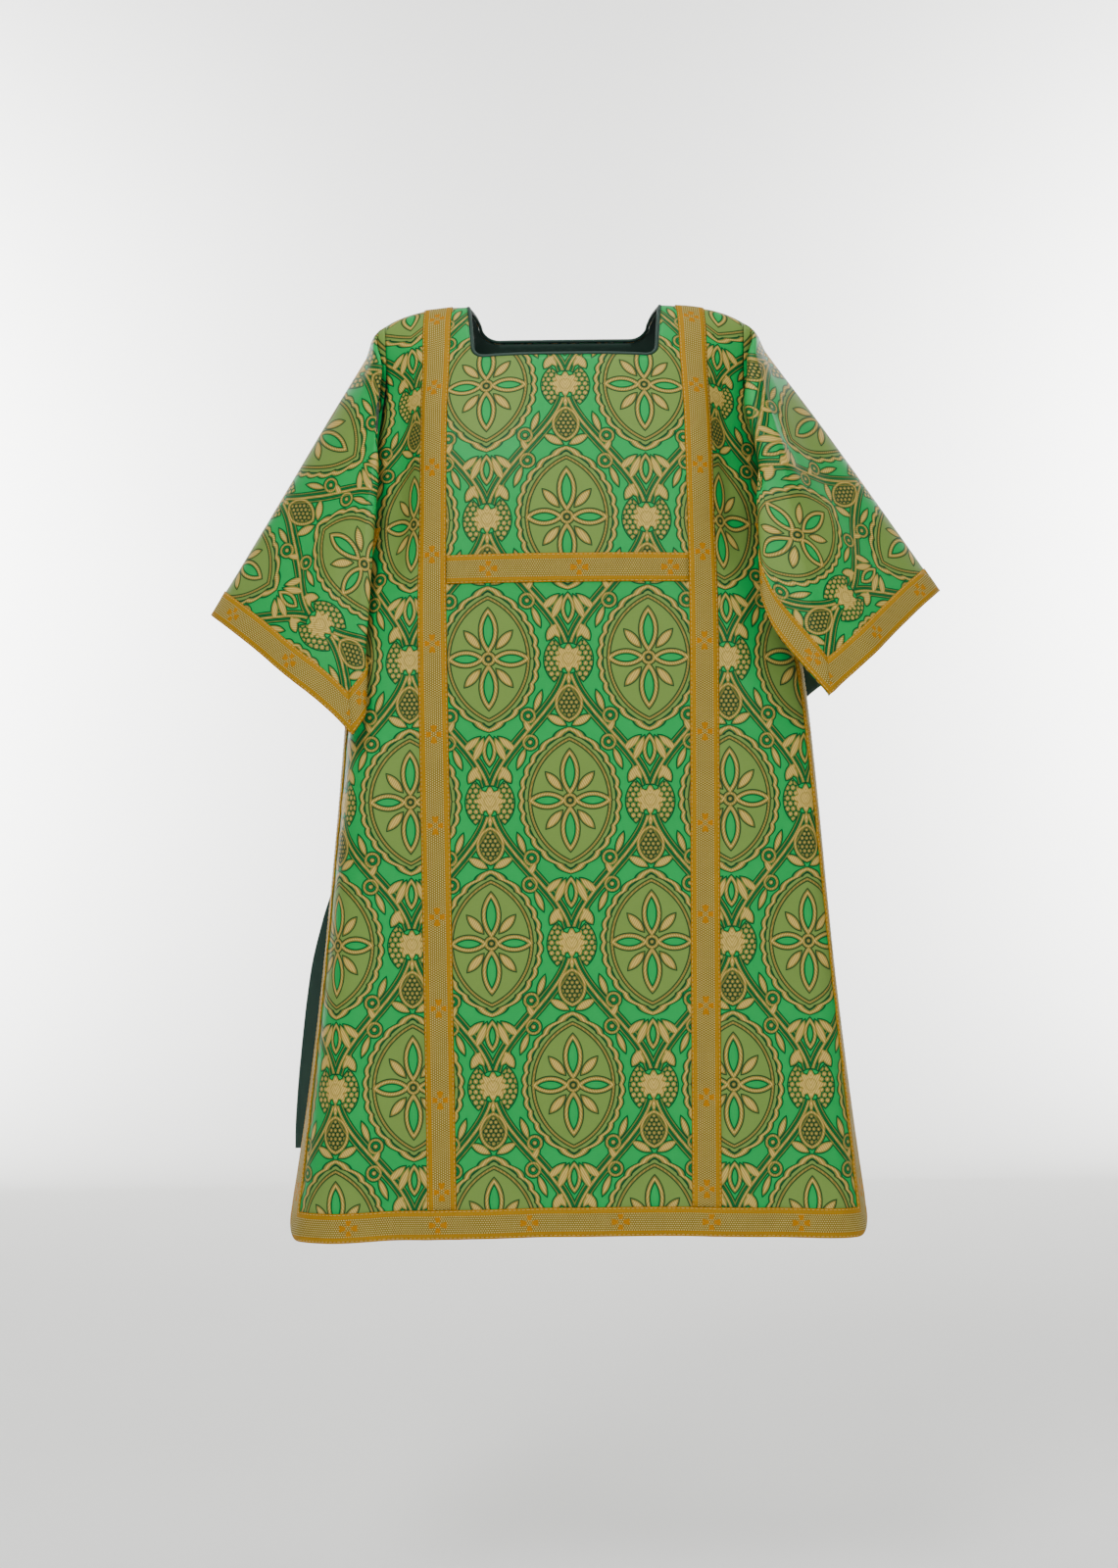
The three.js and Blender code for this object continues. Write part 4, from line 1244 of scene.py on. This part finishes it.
class TUNICLE_OT_piping(bpy.types.Operator):
    """Make the round piping along the neck"""

    bl_idname = "tunicle.piping"
    bl_label = "Neck piping"

    def execute(self, context):
        loop = []
        for form, order in ((FRONT, 1), (BACK, -1)):
            rows = panel_rows(form)
            rows = rows[rows <= form.neck["depth"] + 0.01]
            foot = form.neck_half(np.array([form.neck["depth"]]))[0]
            bottom = np.linspace(-1, 1, 31)[1:-1] * foot
            across = np.r_[-form.neck_half(rows), bottom, form.neck_half(rows)[::-1]]
            down = np.r_[rows, np.full(len(bottom), form.neck["depth"]), rows[::-1]]
            points, out = form.skin(across, down)
            loop.append((points[::order], out[::order]))
        points, out = (np.concatenate([part[i] for part in loop]) for i in range(2))
        along = unit(np.roll(points, -1, 0) - np.roll(points, 1, 0))
        inwards = unit(np.cross(out, along))
        middle = points + inwards * (size("piping") + 0.15)
        values = {"Radius": size("piping") * MM, "Sides": 12, "Material": finish("piping")}
        piece = grown("neck_cord", [(middle, True)], cord_tree(), values)
        settled(piece, "neck_piping")
        return {"FINISHED"}


class TUNICLE_OT_ties(bpy.types.Operator):
    """Make the two ribbon ties that hang inside the sides"""

    bl_idname = "tunicle.ties"
    bl_label = "Ties"

    def execute(self, context):
        for name, rows, sign in (("right", RIGHT_TIE, -1), ("left", LEFT_TIE, 1)):
            form = TieForm(rows, sign)
            over = np.linspace(0, size("tie"), 9)[None]
            patches = [patch(over, rows_between(0, form.length, 5)[:, None])]
            half_wall, cloth = TIE_WALL / 2, [finish("lining")]
            piece = shell(f"{name}_tie_ribbon", form, patches, -half_wall, half_wall, cloth)
            settled(piece, f"{name}_tie")
            flat = (size("tie") * MM, form.length * MM)
        return {"FINISHED"}


class TUNICLE_OT_stitches(bpy.types.Operator):
    """Sew the galloons down with small gold stitches"""

    bl_idname = "tunicle.stitches"
    bl_label = "Stitches"

    def execute(self, context):
        width, tree = size("galloon"), stitch_tree()
        level = size("wall") / 2 + size("galloon_lift") + size("galloon_wall") + STITCH_LIFT
        values = {
            "Pitch": size("stitch_pitch") * MM, "Length": size("stitch_length") * MM,
            "Thread": size("thread") * MM, "Seed": 7, "Material": finish("thread"),
        }

        def line(form, a, b):
            points, out = form.skin(*np.broadcast_arrays(np.asarray(a, float), np.asarray(b, float)))
            return points + out * level, False

        for name, form in PANELS.items():
            start = form.length - width
            rows = rows_between(4, start - 3, 8)
            sides = rows_between(form.foot + 4, start, 8)
            reach = form.stripe(BAR_DOWN + width / 2) - width / 2 - 3
            inner = form.half(start) - width
            lines = []
            for sign in (-1, 1):
                for over in (SEAM_STITCH - width / 2, width / 2 - SEAM_STITCH):
                    lines.append(line(form, sign * form.stripe(rows) + over, rows))
                for over in (EDGE_STITCH, width - SEAM_STITCH):
                    lines.append(line(form, sign * (form.half(sides) - over), sides))
            for down, half, count in (
                (BAR_DOWN + SEAM_STITCH, reach, 40), (BAR_DOWN + width - SEAM_STITCH, reach, 40),
                (start + SEAM_STITCH, inner, 80), (form.length - EDGE_STITCH, inner - 4, 80),
            ):
                lines.append(line(form, np.linspace(-half, half, count), down))
            settled(grown(f"{name}_stitching", lines, tree, values), None)
        for name, form in SLEEVES.items():
            lines = []
            for gap in (EDGE_STITCH, width - SEAM_STITCH):
                edge, cuff = SLEEVE_HALF - gap, SLEEVE_LENGTH - gap
                lines.append(line(form, np.linspace(6, cuff, 60), -edge))
                lines.append(line(form, cuff, np.linspace(-edge, edge, 70)))
                lines.append(line(form, np.linspace(6, cuff, 60), edge))
            settled(grown(f"{name}_sleeve_stitching", lines, tree, values), None)
        return {"FINISHED"}


class TUNICLE_OT_declare(bpy.types.Operator):
    """Work out how wide each panel was cut down its length and at its hem; the sizes are not kept"""

    bl_idname = "tunicle.declare"
    bl_label = "Flat sizes"

    def execute(self, context):
        for (name, form), other in zip(PANELS.items(), ("back", "front")):
            rows = np.linspace(0, form.length, 2000)
            widths = 2 * form.cut_half(rows)
            widths = np.where(rows < form.neck["depth"], widths - 2 * form.neck_half(rows), widths)
            2 * float(form.half(form.length)) * MM
        return {"FINISHED"}


class TUNICLE_OT_stage(bpy.types.Operator):
    """Lay the floor and backdrop, and set the lights and the camera"""

    bl_idname = "tunicle.stage"
    bl_label = "Stage"

    def execute(self, context):
        bend = np.radians(np.linspace(0, 90, 17))
        y = np.r_[PAPER_NEAR, PAPER_FAR + np.sin(bend) * PAPER_BEND, PAPER_FAR + PAPER_BEND]
        z = np.r_[0, (1 - np.cos(bend)) * PAPER_BEND, PAPER_TOP] + FLOOR_LEVEL
        points = [(x, a, b) for x in (-PAPER_HALF, PAPER_HALF) for a, b in zip(y, z)]
        count = len(y)
        faces = [(i, i + count, i + count + 1, i + 1) for i in range(count - 1)]
        mesh = bpy.data.meshes.new("stage_paper")
        mesh.from_pydata(points, [], faces)
        mesh.polygons.foreach_set("use_smooth", [True] * len(faces))
        mesh.materials.append(finish("paper"))
        linked("stage_paper", mesh)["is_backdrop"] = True

        world = bpy.data.worlds.new("studio")
        world.use_nodes = True
        sky = world.node_tree.nodes["Background"].inputs
        sky["Color"].default_value, sky["Strength"].default_value = (1, 1, 1, 1), SKY
        context.scene.world = world
        for name, (place, aim, watts, wide) in LIGHTS.items():
            data = bpy.data.lights.new(name, "AREA")
            data.energy, data.size, data.shape = watts, wide, "DISK"
            light = bpy.data.objects.new(name, data)
            light.location = place
            heading = Vector(aim) - Vector(place)
            light.rotation_euler = heading.to_track_quat("-Z", "Y").to_euler()
            context.scene.collection.objects.link(light)

        data = bpy.data.cameras.new("camera")
        data.lens, data.sensor_width, data.clip_end = CAMERA_LENS, 36, 50
        camera = bpy.data.objects.new("camera", data)
        camera.location = CAMERA_PLACE
        camera.rotation_euler = (math.radians(90), math.radians(CAMERA_ROLL), 0)
        context.scene.collection.objects.link(camera)
        context.scene.camera = camera
        return {"FINISHED"}


STEPS = [
    TUNICLE_OT_panels, TUNICLE_OT_sleeves, TUNICLE_OT_galloons, TUNICLE_OT_piping,
    TUNICLE_OT_ties, TUNICLE_OT_stitches, TUNICLE_OT_declare, TUNICLE_OT_stage,
]


class TUNICLE_PT_sidebar(bpy.types.Panel):
    """Lists the steps, sizes and colours."""

    bl_idname = "TUNICLE_PT_sidebar"
    bl_label = "Tunicle"
    bl_space_type = "VIEW_3D"
    bl_region_type = "UI"
    bl_category = "Tunicle"

    def draw(self, context):
        for step in STEPS:
            self.layout.operator(step.bl_idname)
        for group in (context.scene.tunicle_sizes, context.scene.tunicle_colours):
            for key in group.__annotations__:
                self.layout.prop(group, key)


CLASSES = [TunicleSizes, TunicleColours, *STEPS, TUNICLE_PT_sidebar]


def register():
    for one in CLASSES:
        bpy.utils.register_class(one)
    bpy.types.Scene.tunicle_sizes = bpy.props.PointerProperty(type=TunicleSizes)
    bpy.types.Scene.tunicle_colours = bpy.props.PointerProperty(type=TunicleColours)


def unregister():
    del bpy.types.Scene.tunicle_colours
    del bpy.types.Scene.tunicle_sizes
    for one in reversed(CLASSES):
        bpy.utils.unregister_class(one)


def plain(box):
    return [[float(n) for n in corner] for corner in box]


def main():
    register()
    for step in STEPS:
        getattr(bpy.ops.tunicle, step.bl_idname.split(".")[1])()
    {"cad": plain(CAD_BOX), "visual": plain(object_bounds())}


if __name__ == "__main__":
    main()
